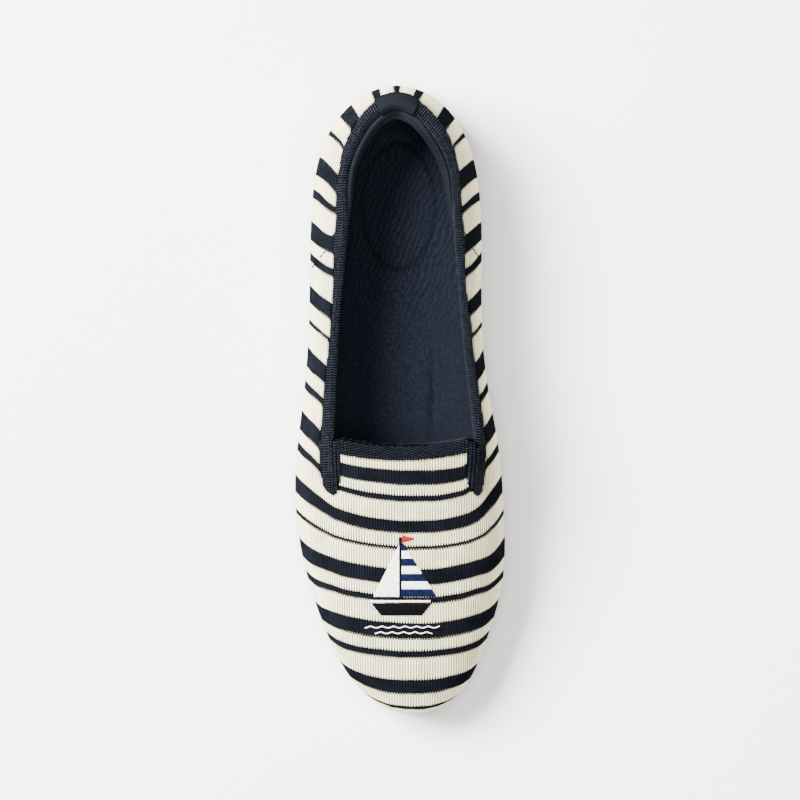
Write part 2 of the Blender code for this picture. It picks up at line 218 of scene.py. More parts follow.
@dataclass
class LastForm:
    """The shoe's last: outline, wall, crest and sole line.

    Attributes:
        length: Length of the shoe, in metres.
        ball_width: Width over the ball of the foot.
        instep: Height of the instep's crest over the floor.
        wall: Thickness of the knit.
        gap: Space between neighbouring parts.
        ball_y: Front end of the spine that the rays run to.
        heel_y: Back end of the spine.
        heel_x: How far the spine's back end lies to the side.
        feather: How far the upper tucks in under itself.
        arch_tilt: How much higher the arch is on the inner side, as a share.
        stations: Along and across as shares of the length and the ball's width,
            the widest line's height in mm, the exponent of the wall's arc, and
            the rim's way out.
        crest_rows: y in mm, and the crest's height as a share of the instep's.
        sole_rows: y, tread, arch and top of the sole, in mm.
    """

    length: float = 253 * MM
    ball_width: float = 84.2 * MM
    instep: float = 62 * MM
    wall: float = 2.3 * MM
    gap: float = 0.3 * MM
    ball_y: float = -39 * MM
    heel_y: float = 66 * MM
    heel_x: float = -1.3 * MM
    feather: float = 3.0 * MM
    arch_tilt: float = 0.35
    stations: Rows = (
        (0, -0.012, 24, 3.4, 0.872), (0.03, -0.232, 23.5, 2.75, 0.78),
        (0.099, -0.369, 22.5, 2.15, 0.7), (0.2, -0.421, 21, 1.98, 0.605),
        (0.342, -0.431, 20, 2.25, 0.675), (0.48, -0.455, 19, 2.35, 0.695),
        (0.642, -0.5, 17, 2.4, 0.662), (0.745, -0.467, 16.5, 2.45, 0.66),
        (0.864, -0.357, 16.5, 2.45, 0.66), (0.972, -0.149, 18, 2.45, 0.66),
        (1, 0.083, 18.5, 2.45, 0.665), (0.966, 0.288, 18, 2.45, 0.68),
        (0.879, 0.421, 16.5, 2.45, 0.7), (0.792, 0.493, 16.5, 2.5, 0.715),
        (0.682, 0.501, 17, 2.6, 0.73), (0.579, 0.476, 18, 3.1, 0.782),
        (0.468, 0.419, 19, 3.5, 0.812), (0.322, 0.393, 20, 2.95, 0.766),
        (0.188, 0.388, 21.5, 2.38, 0.706), (0.099, 0.338, 22.5, 2.3, 0.758),
        (0.03, 0.208, 23.5, 2.75, 0.795),
    )
    crest_rows: Rows = (
        (127, 1.16), (100, 1.08), (66, 0.975), (30, 0.935), (5, 0.95), (-17, 1), (-39, 0.89),
        (-60, 0.795), (-80, 0.725), (-100, 0.655), (-127, 0.56),
    )
    sole_rows: Rows = (
        (127, 2.2, 0, 13), (116, 0, 0, 12.6), (62, 0, 0, 11.4), (48, 0, 3.4, 10.8),
        (14, 0, 3.4, 9.2), (-26, 0, 0, 7.2), (-72, 0, 0, 7), (-100, 1.9, 0, 8.4),
        (-127, 6.6, 0, 12.4),
    )

    def __post_init__(self) -> None:
        """Lay out the outline's spline and the tables read from it."""
        rows = np.array([
            (across * self.ball_width, (0.5 - along) * self.length, widest * MM, square, rim)
            for along, across, widest, square, rim in self.stations
        ])
        trip = ClosedSpline(rows)(np.linspace(0, 1, 2000))[:, :2]
        rows[:, :2] -= (trip.min(axis=0) + trip.max(axis=0)) / 2
        self.outline = ClosedSpline(rows)
        self.trip = np.linspace(0, 1, 6001)
        self.trip_points = self.outline(self.trip)
        self.toe_index = int(self.trip_points[:, 1].argmin())
        self.toe_share = float(self.trip[self.toe_index])
        self.trip_length = running(self.trip_points[:, :2])
        self.crest_curve = MonotoneCurve(self.crest_rows)
        self.tread_curve, self.arch_curve, self.seat_curve = [
            MonotoneCurve(tuple((row[0], row[k]) for row in self.sole_rows)) for k in (1, 2, 3)
        ]

    def crest(self, y: Array) -> Array:
        """Return the height over the spine at y."""
        return self.crest_curve(y / MM) * self.instep

    def seat(self, y: Array) -> Array:
        """Return the height of the sole's upper surface at y."""
        return self.seat_curve(y / MM) * MM

    def underside(self, y: Array, side: Array) -> Array:
        """Return the sole's underside at y; side is -1 outer, +1 inner."""
        arch = self.arch_curve(y / MM) * (1 + self.arch_tilt * side)
        return (self.tread_curve(y / MM) + arch) * MM

    def share_at(self, y: Array, side: Side) -> Array:
        """Return the outline's share where it passes y on one side of the foot."""
        ys, k = self.trip_points[:, 1], self.toe_index
        if side is Side.INNER:
            return np.interp(y, ys[k:], self.trip[k:])
        return np.interp(-y, -ys[: k + 1], self.trip[: k + 1])

    def back_way(self, y: float, count: int) -> tuple[Array, float, float]:
        """Return shares from the inner side at y round the heel to the outer, and both ends."""
        first = float(self.share_at(y, Side.INNER)) - 1
        last = float(self.share_at(y, Side.OUTER))
        return np.linspace(first, last, count), first, last

    def spine(self, y: Array) -> tuple[Array, Array]:
        """Return the spine's point that the ray from outline height y runs to."""
        spine_y = np.clip(y, self.ball_y, self.heel_y)
        spine_x = self.heel_x * (spine_y - self.ball_y) / (self.heel_y - self.ball_y)
        return spine_x, spine_y

    def run(self, share: Array) -> Array:
        """Return the way round the outline up to a share, in metres."""
        return np.interp(share, self.trip, self.trip_length)

    def ray(self, row: Array) -> tuple[Array, Array, Array]:
        """Return the spine's point and the length of the ray to an outline point."""
        spine_x, spine_y = self.spine(row[..., 1])
        return spine_x, spine_y, np.hypot(row[..., 0] - spine_x, row[..., 1] - spine_y)

    def rim_angle(self, share: Array) -> Array:
        """Return the angle up the wall's arc at which the collar ends."""
        row = self.outline(share)
        return np.arccos(row[..., 4] ** (row[..., 3] / 2))

    def crest_rise(self, share: Array) -> Array:
        """Return the rise at which a ray meets the crest."""
        return math.pi / 2 / self.rim_angle(share)

    def outward(self, share: Array) -> Array:
        """Return the outline's outward direction seen from above."""
        ahead, behind = self.outline(share + 1e-4), self.outline(share - 1e-4)
        along = unit((ahead - behind)[..., :2])
        return np.stack([along[..., 1], -along[..., 0]], -1)

    def inset(self, share: Array, inset: Array) -> Array:
        """Return the outline's points moved into the shoe."""
        return self.outline(share)[..., :2] - self.outward(share) * np.asarray(inset)[..., None]

    def plan(self, part: Array, side: Array, inset: float) -> Array:
        """Return a grid of plan points: parts of the way to the toe, by ways across."""
        outer = self.inset(self.toe_share * part, inset)
        inner = self.inset(1 - (1 - self.toe_share) * part, inset)
        return outer[:, None] + (inner - outer)[:, None] * ((side + 1) / 2)[None, :, None]

    def way_out(self, share: Array, rise: Array) -> Array:
        """Return how far out along its ray a point lies, as a share."""
        row = self.outline(share)
        angle = np.clip(rise * self.rim_angle(share), 0, math.pi / 2)
        return np.maximum(np.cos(angle), 0) ** (2 / row[..., 3])

    def rise_at(self, share: Array, out: Array) -> Array:
        """Return the rise of the point that lies a share of the way out."""
        row = self.outline(share)
        angle = np.arccos(np.clip(out, 0, 1) ** (row[..., 3] / 2))
        return angle / self.rim_angle(share)

    def point(self, share: Array, rise: Array) -> Array:
        """Return points on the outer face of the upper.

        Args:
            share: Places round the outline.
            rise: Places up the wall.

        Returns:
            Points in metres.
        """
        share, rise = paired(share, rise)
        row = self.outline(share)
        x, y, widest, square = (row[..., k] for k in range(4))
        spine_x, spine_y = self.spine(y)
        angle = np.clip(rise * self.rim_angle(share), 0, math.pi / 2)
        out = np.maximum(np.cos(angle), 0) ** (2 / square)
        up = np.sin(angle) ** (2 / square)
        px, py = spine_x + (x - spine_x) * out, spine_y + (y - spine_y) * out
        wall = np.stack([px, py, widest + (self.crest(py) - widest) * up], -1)
        edge = self.inset(share, self.feather * rise * rise)
        low = self.seat(y) + self.gap
        under = np.concatenate([edge, (widest + (widest - low) * rise)[..., None]], -1)
        return np.where((rise < 0)[..., None], under, wall)

    def inward(self, share: Array, rise: Array) -> Array:
        """Return the direction into the shoe, square to the outer face."""
        step = 2e-3
        near = np.minimum(rise, self.crest_rise(share) - 2 * step)
        around = self.point(share + step / 4, near) - self.point(share - step / 4, near)
        above = self.point(share, near + step) - self.point(share, near - step)
        return unit(np.cross(above, around))

    def at(self, share: Array, rise: Array, depth: Array) -> Array:
        """Return points at a depth into the shoe from the upper's outer face."""
        place = self.point(share, rise)
        deep = place + self.inward(share, rise) * np.asarray(depth, float)[..., None]
        deep[..., 2] = np.where(rise <= -1, place[..., 2], deep[..., 2])
        return deep

    def climb(self, share: Array) -> Array:
        """Return the arc's length for each unit of rise, at the rim."""
        return np.linalg.norm(self.point(share, 1.0) - self.point(share, 0.99), axis=-1) / 0.01

    def locate(self, x: Array, y: Array) -> tuple[Array, Array]:
        """Return the share and rise of points seen from above.

        Args:
            x: Across the foot, in metres.
            y: Along the foot, in metres.

        Returns:
            The outline's share of each point's ray, and its rise.
        """
        spine_x, level = self.spine(y)
        share = by_side(x >= spine_x, lambda side: self.share_at(level, side))
        trip = self.trip_points
        front, back = trip[:, 1] < self.ball_y, trip[:, 1] > self.heel_y
        fan = np.arctan2(trip[front, 0], self.ball_y - trip[front, 1])
        share = np.where(y < self.ball_y,
                         np.interp(np.arctan2(x, self.ball_y - y), fan, self.trip[front]), share)
        turn = np.arctan2(trip[back, 0] - self.heel_x, trip[back, 1] - self.heel_y)
        order = np.argsort(turn)
        shares = np.where(self.trip[back] > 0.5, self.trip[back] - 1, self.trip[back])
        seen = np.interp(np.arctan2(x - self.heel_x, y - self.heel_y), turn[order], shares[order])
        share = np.where(y > self.heel_y, seen % 1.0, share)
        spine_x, spine_y, reach = self.ray(self.outline(share))
        return share, self.rise_at(share, np.hypot(x - spine_x, y - spine_y) / reach)


LAST = LastForm()


# ---- Where the knit's pattern lies on the last ----


@dataclass
class KnitMap:
    """Courses, wales and the navy rib's border, as places on the last.

    Attributes:
        ways: Ways out from the middle, 0, to the outline, 1.
        lead: Stations in mm, and how far a course there lies ahead of its own
            number at each way. A station is y up to the heel's turn and then
            runs on round the outline.
        phase: Where a repeat of the stripes begins, in mm ahead of the middle.
        collar: y in mm on each side, and the rib's outer edge as a way out.
        flap_side: y in mm on each side, and the rib's inner edge as mm from the axis.
        flap_bar: y in mm of the lower border of the rib across the flap.
        side_slope: How far a course lags for each mm down under the widest line.
        toe_tuck: Courses in mm that turn under the toe.
        toe_from: y in mm at which the toe begins.
        rib_front: y in mm at which the collar's rib ends.
        flap_back: y in mm behind which the flap has no rib.
    """

    ways: tuple[float, ...] = (0.0, 0.3, 0.6, 0.75, 0.85, 0.93, 1.0)
    lead: dict[Side, Rows] = field(default_factory=lambda: {
        Side.OUTER: (
            (144, 0, 0, 0, -4.6, -5, -4.5, -4), (133, 0, 0, 0, -4.2, -4.5, -3.5, -3),
            (124, 0, 0, 0, -4.9, -5.4, -4.2, -3), (110, 0, 0, 0, -4.9, -5.4, -4.4, -3.5),
            (99, 0, 0, 0, -3.3, -3.8, -3.6, -3), (91, 0, 0, 0, -2.1, -3.3, -3.6, -3.5),
            (80, 0, 0, 0, -0.2, -1.1, -2.4, -3.2), (66, 8, 7, 5, 3, 1.1, -1, -3),
            (60, 8, 7, 5, 2.7, 1, -0.7, -3), (50, 8, 7, 5, 3.7, 2, -0.3, -3),
            (40, 9, 8, 6, 4, 1.9, -0.4, -3), (28, 11, 10, 8, 4.5, 1.8, -0.5, -3),
            (16, 13, 12, 10, 5.5, 2.4, 0, -3), (4, 16, 15, 12, 5.5, 2, -0.3, -3),
            (-10, 20, 19, 15, 6.2, 2.1, -0.5, -3.4), (-20, 22.5, 21, 17.3, 6.7, 2.2, -0.3, -3.3),
            (-28, 20.5, 19, 15.5, 6.4, 2.3, -0.2, -3.3),
            (-38, 18.3, 16.5, 11.9, 5.9, 2.4, -0.4, -3.3),
            (-48, 15.5, 13.4, 8.8, 4.7, 2.1, -0.3, -3.2),
            (-58, 11.9, 10.3, 7.2, 4.7, 2.7, 0.5, -2.5), (-68, 10.2, 8.4, 5.9, 3.4, 1.8, 0.2, -3),
            (-80, 7.6, 6, 4.1, 2.3, 1.3, 0.1, -3), (-90, 5.4, 4.7, 2.9, 1.6, 0.4, -1.1, -3),
            (-100, 4.5, 3.6, 2.5, 1.4, 0.4, -1.1, -4), (-110, 3.3, 2.7, 1.3, 0, -1.3, -2.9, -5),
            (-118, 2, 1.5, 0.1, -1.1, -2.3, -3.7, -5.5),
            (-124, -0.6, -1.1, -1.4, -2.4, -3.1, -3.8, -5.5),
        ),
        Side.INNER: (
            (144, 0, 0, 0, -5, -5, -4.5, -4), (134, 0, 0, 0, -5, -4.5, -3.3, -2),
            (123, 0, 0, 0, -5, -4, -2.8, -2), (108, 0, 0, 0, -4, -3.8, -3.1, -2.4),
            (98, 0, 0, 0, -3, -2.8, -2.4, -2), (90, 0, 0, 0, -1, -1.9, -2.4, -2.5),
            (80, 0, 0, 0, 1, -0.3, -1.4, -2), (66, 8, 7, 5, 4, 1.3, -0.8, -3),
            (60, 8, 7, 6, 4, 1.7, -0.5, -3), (50, 9, 8, 7, 5, 3, 0.8, -2),
            (40, 10, 9, 8, 6, 3.2, 0.8, -2), (28, 12, 11, 9, 7, 3.3, 1.1, -2),
            (16, 15, 14, 12, 8, 4.2, 1.8, -2), (4, 18, 17, 14, 9, 4, 1.5, -2),
            (-10, 21, 20, 17, 9.5, 4.3, 1.2, -2.4), (-20, 22.6, 22.4, 20.4, 10, 4.4, 1.1, -2.6),
            (-28, 20.5, 20.4, 18.6, 11, 4.6, 1.2, -3), (-38, 18.3, 18.3, 15.5, 10.5, 5, 1, -3),
            (-48, 15.5, 15.2, 12.3, 8.8, 4.6, 1.3, -3), (-58, 12, 11.7, 9.5, 7, 4.6, 1.3, -3),
            (-68, 10.2, 9.8, 7.4, 5.4, 3.9, 1, -3), (-80, 7.6, 7.5, 5.8, 3.7, 2.3, -0.1, -4),
            (-90, 5.5, 5.7, 4, 2.5, 1.1, -0.6, -4), (-100, 4.5, 4.4, 3.2, 2.2, 1, -0.4, -3.4),
            (-110, 3.3, 3.2, 2.2, 1.1, 0.1, -1.3, -4), (-118, 1.9, 2.1, 1.4, 0, -1, -2.1, -4.6),
            (-124, -0.6, -0.2, -0.3, -0.7, -1.4, -2.1, -4),
        ),
    })
    phase: float = 46.6
    collar: dict[Side, Rows] = field(default_factory=lambda: {
        Side.OUTER: (
            (-38.6, 0.6), (-38.2, 0.64), (-36.5, 0.7), (-34, 0.735), (-28, 0.757), (-20, 0.78),
            (5, 0.786), (40, 0.744), (76, 0.707), (101.5, 0.768), (118.8, 0.859), (126.5, 0.933),
        ),
        Side.INNER: (
            (-39.2, 0.725), (-38.2, 0.765), (-36.5, 0.8), (-31, 0.828), (-25, 0.85), (-20, 0.868),
            (-10, 0.882), (10, 0.886), (20, 0.88), (30, 0.872), (40, 0.833), (45, 0.816),
            (79, 0.771), (101.5, 0.823), (118.8, 0.879), (126.5, 0.933),
        ),
    })
    flap_side: dict[Side, Rows] = field(default_factory=lambda: {
        Side.OUTER: ((-45, 29), (-38.6, 26.6), (-37, 25), (-34, 23.9), (-22, 23.6), (0, 23.6)),
        Side.INNER: ((-45, 34), (-39, 31.4), (-37, 29), (-34, 27), (-22, 26.4), (0, 26.4)),
    })
    flap_bar: float = -24.1
    side_slope: float = 0.4
    toe_tuck: float = 1.6
    toe_from: float = -39
    rib_front: float = -38.7
    flap_back: float = -14

    def __post_init__(self) -> None:
        """Tabulate arc lengths across the foot at each place along it."""
        self.table_y = np.linspace(-126.2, 66, 220) * MM
        self.table_u = np.linspace(0, 1, 121)
        self.arcs: dict[Side, Array] = {}
        for side in Side:
            share = LAST.share_at(self.table_y, side)
            edge = LAST.outline(share)[:, 0]
            spine_x, _ = LAST.spine(self.table_y)
            ways = np.sin(self.table_u * math.pi / 2)
            x = spine_x[:, None] + (edge - spine_x)[:, None] * ways * 0.9999
            y = np.repeat(self.table_y[:, None], len(ways), 1)
            z = LAST.point(*LAST.locate(x, y))[..., 2]
            steps = np.hypot(np.diff(x, axis=1), np.diff(z, axis=1))
            self.arcs[side] = np.pad(np.cumsum(steps, 1), ((0, 0), (1, 0)))
        self.stations = np.linspace(-126.5, 144, 272)
        self.fine_ways = np.linspace(0, 1, 81)
        self.leads: dict[Side, Array] = {}
        for side in Side:
            columns = [MonotoneCurve(tuple((row[0], row[k + 1]) for row in self.lead[side]))
                       for k in range(len(self.ways))]
            table = np.stack([column(self.stations) for column in columns], 1)
            self.leads[side] = np.array([
                MonotoneCurve(tuple(zip(self.ways, row)))(self.fine_ways) for row in table
            ])

    def ahead(self, side: Side, station: Array, way: Array) -> Array:
        """Return how far a course lies ahead at stations and ways out on one side."""
        row = np.interp(station, self.stations, np.arange(len(self.stations)))
        return bilinear(self.leads[side], row, np.clip(way, 0, 1) * (len(self.fine_ways) - 1))

    def reading(self, share: Array, rise: Array) -> dict[str, Array]:
        """Return the pattern's coordinates at places on the last.

        Args:
            share: Places round the outline.
            rise: Places up the wall.

        Returns:
            "stripe", "wale" and "rib" in millimetres, and "wall" from 0 on the
            vamp to 1 on the sides.
        """
        share, rise = paired(share, rise)
        row = LAST.outline(share)
        place = LAST.point(share, rise)
        x, y = place[..., 0] / MM, place[..., 1] / MM
        edge_y = row[..., 1] / MM
        out = LAST.way_out(share, rise)
        facing = np.abs(LAST.outward(share))
        below = np.linalg.norm(place - LAST.point(share, np.maximum(rise, 0)), axis=-1) / MM
        inner = share > LAST.toe_share
        start = by_side(inner, lambda side: LAST.share_at(LAST.heel_y, side))
        lap = np.abs(LAST.run(share) - LAST.run(start)) / MM
        over = LAST.point(share, np.maximum(rise, 0))
        fan = edge_y > LAST.heel_y / MM
        way = np.where(fan, out, self.way_across(over)[1])
        station = np.where(fan, LAST.heel_y / MM + lap, over[..., 1] / MM)
        spine_x, _ = LAST.spine(over[..., 1])
        inner = np.where(fan, inner, over[..., 0] > spine_x)
        ahead = by_side(inner, lambda side: self.ahead(side, station, way))
        toe = y < self.toe_from
        tuck = self.toe_tuck * np.tanh(below / self.toe_tuck) * toe * facing[..., 1]
        stripe = -station - ahead + below * self.side_slope * facing[..., 0] + tuck - self.phase
        wall = smooth(rise, 0.75, 0.35)
        wall = np.where(toe, wall * smooth(y, -112, -80), wall)
        wall = np.maximum(wall, smooth(rise, 0.45, 0.15))
        return {
            "stripe": stripe,
            "wale": self.wale(share, rise, below * facing[..., 0]),
            "rib": self.rib(share, x, y, out),
            "wall": wall,
        }

    def way_across(self, place: Array) -> tuple[Array, Array]:
        """Return each place's y, kept to the table, and its way from the axis to the edge."""
        y = np.clip(place[..., 1], self.table_y[0], self.table_y[-1])
        spine_x, _ = LAST.spine(y)
        x = place[..., 0]
        edge = by_side(x >= spine_x, lambda side: LAST.outline(LAST.share_at(y, side))[..., 0])
        return y, np.clip((x - spine_x) / (edge - spine_x), 0, 1)

    def wale(self, share: Array, rise: Array, below: Array) -> Array:
        """Return the way across the knit in mm, along the surface from its middle.

        Args:
            share: Places round the outline.
            rise: Places up the wall.
            below: Way under the widest line, in mm.

        Returns:
            The ways, outer ones negative.
        """
        place = LAST.point(share, rise)
        y, way = self.way_across(place)
        back = place[..., 1] > LAST.heel_y
        way = np.where(back, LAST.way_out(share, rise), way)
        row = np.interp(y, self.table_y, np.arange(len(self.table_y)))
        column = np.arcsin(way) / (math.pi / 2) * (len(self.table_u) - 1)
        spine_x, _ = LAST.spine(y)
        inner = np.where(back, share > LAST.toe_share, place[..., 0] >= spine_x)
        arc = by_side(inner, lambda side: bilinear(self.arcs[side], row, column))
        return np.where(inner, 1, -1) * (arc / MM + below)

    def rib(self, share: Array, x: Array, y: Array, out: Array) -> Array:
        """Return how far in mm a place lies inside the navy rib, negative outside.

        Args:
            share: Places round the outline.
            x: Places across, in mm.
            y: Places along, in mm.
            out: Ways out along the rays.

        Returns:
            The depths.
        """
        row = LAST.outline(share)
        reach = LAST.ray(row)[2] / MM
        inner, edge_y = share > LAST.toe_share, row[..., 1] / MM
        outer = reach * (by_side(inner, lambda side: along_table(self.collar[side], edge_y)) - out)
        outer = np.where(y < self.rib_front, np.minimum(outer, (y - self.rib_front) * 2), outer)
        flank = np.abs(x) - by_side(inner, lambda side: along_table(self.flap_side[side], y))
        top = y - (self.flap_bar + 2.5 * (x / 24) ** 2)
        return np.where(y < self.flap_back, np.minimum(outer, np.maximum(flank, top)), outer)


KNIT = KnitMap()


# ---- Nodes as Python expressions ----


def operator(operation: str, reflected: bool = False) -> Callable[["Signal", Any], "Signal"]:
    """Return the method of a Python operator that adds a Math node.

    Args:
        operation: The Math node's operation.
        reflected: Whether the signal stands on the operator's right.

    Returns:
        The method.
    """
    def method(signal: "Signal", other: Any) -> "Signal":
        """Return the node's result on the two values."""
        return signal.sheet.math(operation, *((other, signal) if reflected else (signal, other)))
    return method


class Signal:
    """A node's output that Python operators build on."""

    def __init__(self, sheet: "NodeSheet", socket: Any) -> None:
        """Keep the output and the sheet that new nodes go on."""
        self.sheet = sheet
        self.socket = socket

    def math(self, operation: str, *others: Any) -> "Signal":
        """Return a Math node's result on this value and others."""
        return self.sheet.math(operation, self, *others)

    __add__ = __radd__ = operator("ADD")
    __mul__ = __rmul__ = operator("MULTIPLY")
    __sub__, __rsub__ = operator("SUBTRACT"), operator("SUBTRACT", True)
    __truediv__, __rtruediv__ = operator("DIVIDE"), operator("DIVIDE", True)

    def fract(self) -> "Signal":
        """Return the part after the point."""
        return self.math("FRACT")

    def wave(self) -> "Signal":
        """Return a triangle wave: 0 in a unit's middle, 1 at its ends."""
        return (self.fract() - 0.5).math("ABSOLUTE") * 2

    def eased(self, low: float, high: float) -> "Signal":
        """Return 0 below low and 1 above high, eased between."""
        node = self.sheet.node(
            "ShaderNodeMapRange", {"interpolation_type": "SMOOTHSTEP"},
            {0: self, 1: low, 2: high, 3: 0.0, 4: 1.0},
        )
        return Signal(self.sheet, node.outputs[0])


class NodeSheet:
    """Adds nodes to one tree, a shader's or a modifier's."""

    def __init__(self, tree: bpy.types.NodeTree) -> None:
        """Clear the tree and keep it."""
        self.tree = tree
        self.tree.nodes.clear()

    def node(self, kind: str, settings: dict[str, Any], inputs: Inputs) -> Any:
        """Add a node.

        Args:
            kind: The node's type name.
            settings: Its own properties; "stops" are a colour ramp's hard stops.
            inputs: Values or signals for its sockets, by name or number, in a
                list where a socket joins several.

        Returns:
            The node.
        """
        node = self.tree.nodes.new(kind)
        for name, value in settings.items():
            if name == "stops":
                self.set_stops(node.color_ramp, value)
            else:
                setattr(node, name, value)
        for name, value in inputs.items():
            for one in value if isinstance(value, list) else [value]:
                if isinstance(one, Signal):
                    self.tree.links.new(one.socket, node.inputs[name])
                else:
                    node.inputs[name].default_value = one
        return node

    @staticmethod
    def set_stops(ramp: bpy.types.ColorRamp, stops: Steps) -> None:
        """Give a ramp hard stops of (place, grey), first to last."""
        ramp.interpolation = "CONSTANT"
        for k, (place, grey) in enumerate(stops):
            stop = ramp.elements[k] if k < 2 else ramp.elements.new(1.0)
            stop.position, stop.color = place, (grey, grey, grey, 1.0)

    def signal(self, kind: str, settings: dict[str, Any], inputs: Inputs,
               output: Any = 0) -> Signal:
        """Add a node and return one of its outputs."""
        return Signal(self, self.node(kind, settings, inputs).outputs[output])

    def math(self, operation: str, *values: Any) -> Signal:
        """Return a Math node's result."""
        return self.signal("ShaderNodeMath", {"operation": operation}, dict(enumerate(values)))

    def vector(self, *values: Any) -> Signal:
        """Return a vector of three values."""
        return self.signal("ShaderNodeCombineXYZ", {}, dict(enumerate(values)))


def linear(colour: Any) -> Any:
    """Return a screen colour of 0 to 255 as linear light, and a signal as it is."""
    if isinstance(colour, Signal):
        return colour
    parts = [c / 255 for c in colour]
    return (*(p / 12.92 if p <= 0.04045 else ((p + 0.055) / 1.055) ** 2.4 for p in parts), 1.0)


class Shader(NodeSheet):
    """A material's nodes, with the readings that the finishes share."""

    def __init__(self, name: str) -> None:
        """Start an empty material."""
        self.material = bpy.data.materials.new(name)
        self.material.use_nodes = True
        super().__init__(self.material.node_tree)

    def attribute(self, name: str) -> Signal:
        """Return a number stored on the mesh."""
        return self.signal("ShaderNodeAttribute", {"attribute_name": name}, {}, "Fac")

    def place(self) -> tuple[Signal, Signal, Signal]:
        """Return the place on the object along X, Y and Z, in mm."""
        where = self.signal("ShaderNodeTexCoord", {}, {}, "Object")
        split = self.node("ShaderNodeSeparateXYZ", {}, {0: where})
        return tuple(Signal(self, split.outputs[k]) * 1000.0 for k in range(3))

    def noise(self, scale: float, detail: float = 2.0, roughness: float = 0.5) -> Signal:
        """Return a cloudy value round 0.5; scale is features for each metre."""
        where = self.signal("ShaderNodeTexCoord", {}, {}, "Object")
        return self.signal(
            "ShaderNodeTexNoise", {},
            {"Vector": where, "Scale": scale, "Detail": detail, "Roughness": roughness},
        )

    def mix(self, share: Any, first: Any, second: Any, blend: str = "MIX") -> Signal:
        """Return two colours mixed or blended."""
        settings = {"data_type": "RGBA", "blend_type": blend}
        return self.signal("ShaderNodeMix", settings, {0: share, 6: first, 7: second}, 2)

    def shade(self, colour: Any, value: Signal) -> Signal:
        """Return a colour made darker or lighter by a value."""
        return self.mix(1.0, linear(colour), self.vector(value, value, value), "MULTIPLY")

    def finish(self, colour: Any, relief: tuple[Signal, float, float] | None = None,
               roughness: Any = 0.95, **constants: Any) -> Finish:
        """Close the material with its surface shader.

        Args:
            colour: Base colour.
            relief: Height of 0 to 1, the depth in metres it stands for, and its strength.
            roughness: Roughness.
            **constants: Other sockets, spaces written as underscores.

        Returns:
            The material.
        """
        inputs = {"Base Color": linear(colour), "Roughness": roughness, "Specular IOR Level": 0.0}
        inputs.update({name.replace("_", " "): value for name, value in constants.items()})
        if relief is not None:
            inputs["Normal"] = self.signal(
                "ShaderNodeBump", {}, dict(zip(("Height", "Distance", "Strength"), relief)))
        surface = self.signal("ShaderNodeBsdfPrincipled", {}, inputs)
        self.node("ShaderNodeOutputMaterial", {}, {"Surface": surface})
        return self.material


# ---- Finishes ----


@dataclass(frozen=True)
class StripedKnit:
    """Cream and navy jersey in broken stripes, with the navy rib's ground.

    Attributes:
        cream: Light yarn.
        navy: Dark yarn.
        rib_ground_and_shade: The rib's bluer ground between its stitches, darkened nearly to black:
            partly its own navy yarn, partly painted shade in the gaps between the raised stitches.
        wale: Width of a column of loops, in mm.
        course: Height of a row of loops, in mm.
        zigzag: How far a stripe's edge steps at each wale, in mm.
        stripes: Widths in mm, navy first and then by turns, one full repeat.
    """

    cream: Colour = (250, 243, 198)
    navy: Colour = (17, 19, 24)
    rib_ground_and_shade: Colour = (3, 4, 6)
    wale: float = 1.10
    course: float = 0.87
    zigzag: float = 1.25
    stripes: tuple[float, ...] = (1.9, 8.9, 8.3, 5.2, 3.5, 9.2, 7.8, 4.8, 3.5, 9.6, 7.0, 6.8)

    def build(self) -> Finish:
        """Return the material."""
        shader = Shader("striped_knit")
        stripe, wale, rib, wall = [
            shader.attribute(name) for name in ("stripe", "wale", "rib", "wall")
        ]
        between = (wale / self.wale).wave()
        drift = shader.noise(420.0, 1.0) - 0.5
        edge = stripe + (between - 0.5) * self.zigzag * (1 - wall * 0.6) + drift * 0.35
        repeat = sum(self.stripes)
        stops = [(place / repeat, k % 2) for k, place in enumerate(totals(self.stripes[:-1]))]
        light = shader.signal("ShaderNodeValToRGB", {"stops": stops}, {0: (edge / repeat).fract()})
        row = (stripe / self.course + between * 0.5).wave()
        leg = (between * math.pi).math("SINE")
        loop = ((1 - row) * leg).math("POWER", 0.6)
        worn = shader.noise(150.0, 2.0, 0.7).eased(0.30, 0.72)
        # Dark pinholes and lines between the wales: partly the yarn beneath showing through, partly
        # painted shade in the holes and grooves.
        pinhole_and_shade = between.eased(0.27, 0.59) * (row.eased(0.20, 0.56) * 0.54 + 0.46)
        pinhole_and_shade = pinhole_and_shade * (0.74 + worn * 0.26) * (1 - wall * 0.6)
        yarn = shader.noise(2600.0, 2.0, 0.7)
        cloud = shader.noise(60.0, 2.0)
        grain = (0.86 + yarn * 0.28) * (0.95 + cloud * 0.1)
        # Painted highlight: pale and deep lighten the middle of each raised yarn leg (loop),
        # slightly on the cream and strongly on the navy.
        pale = (1.0 + loop * 0.12) * (1 - pinhole_and_shade) * grain
        deep = (0.28 + loop * 2.8 * (0.45 + worn * 0.55)) * (1 - pinhole_and_shade * 0.9) * grain
        in_rib = (rib + drift * 0.5 + (between - 0.5) * 0.45).eased(-0.06, 0.06)
        body = shader.mix(light, shader.shade(self.navy, deep), shader.shade(self.cream, pale))
        # Painted shade: the rib's ground is kept near black so that the gaps between the raised
        # stitches read dark.
        ground = shader.shade(self.rib_ground_and_shade, 0.7 + yarn * 0.5)
        seam = 1 - (rib + 0.25).math("ABSOLUTE").eased(0.42, 0.12) * 0.55
        colour = shader.shade(shader.mix(in_rib, body, ground), seam)
        ribs = (rib / 1.36).wave()
        height = (loop - pinhole_and_shade * 0.5) * (1 - in_rib) + (1 - ribs * 0.7) * in_rib
        return shader.finish(colour, (height + yarn * 0.18, 0.00030, 0.9))


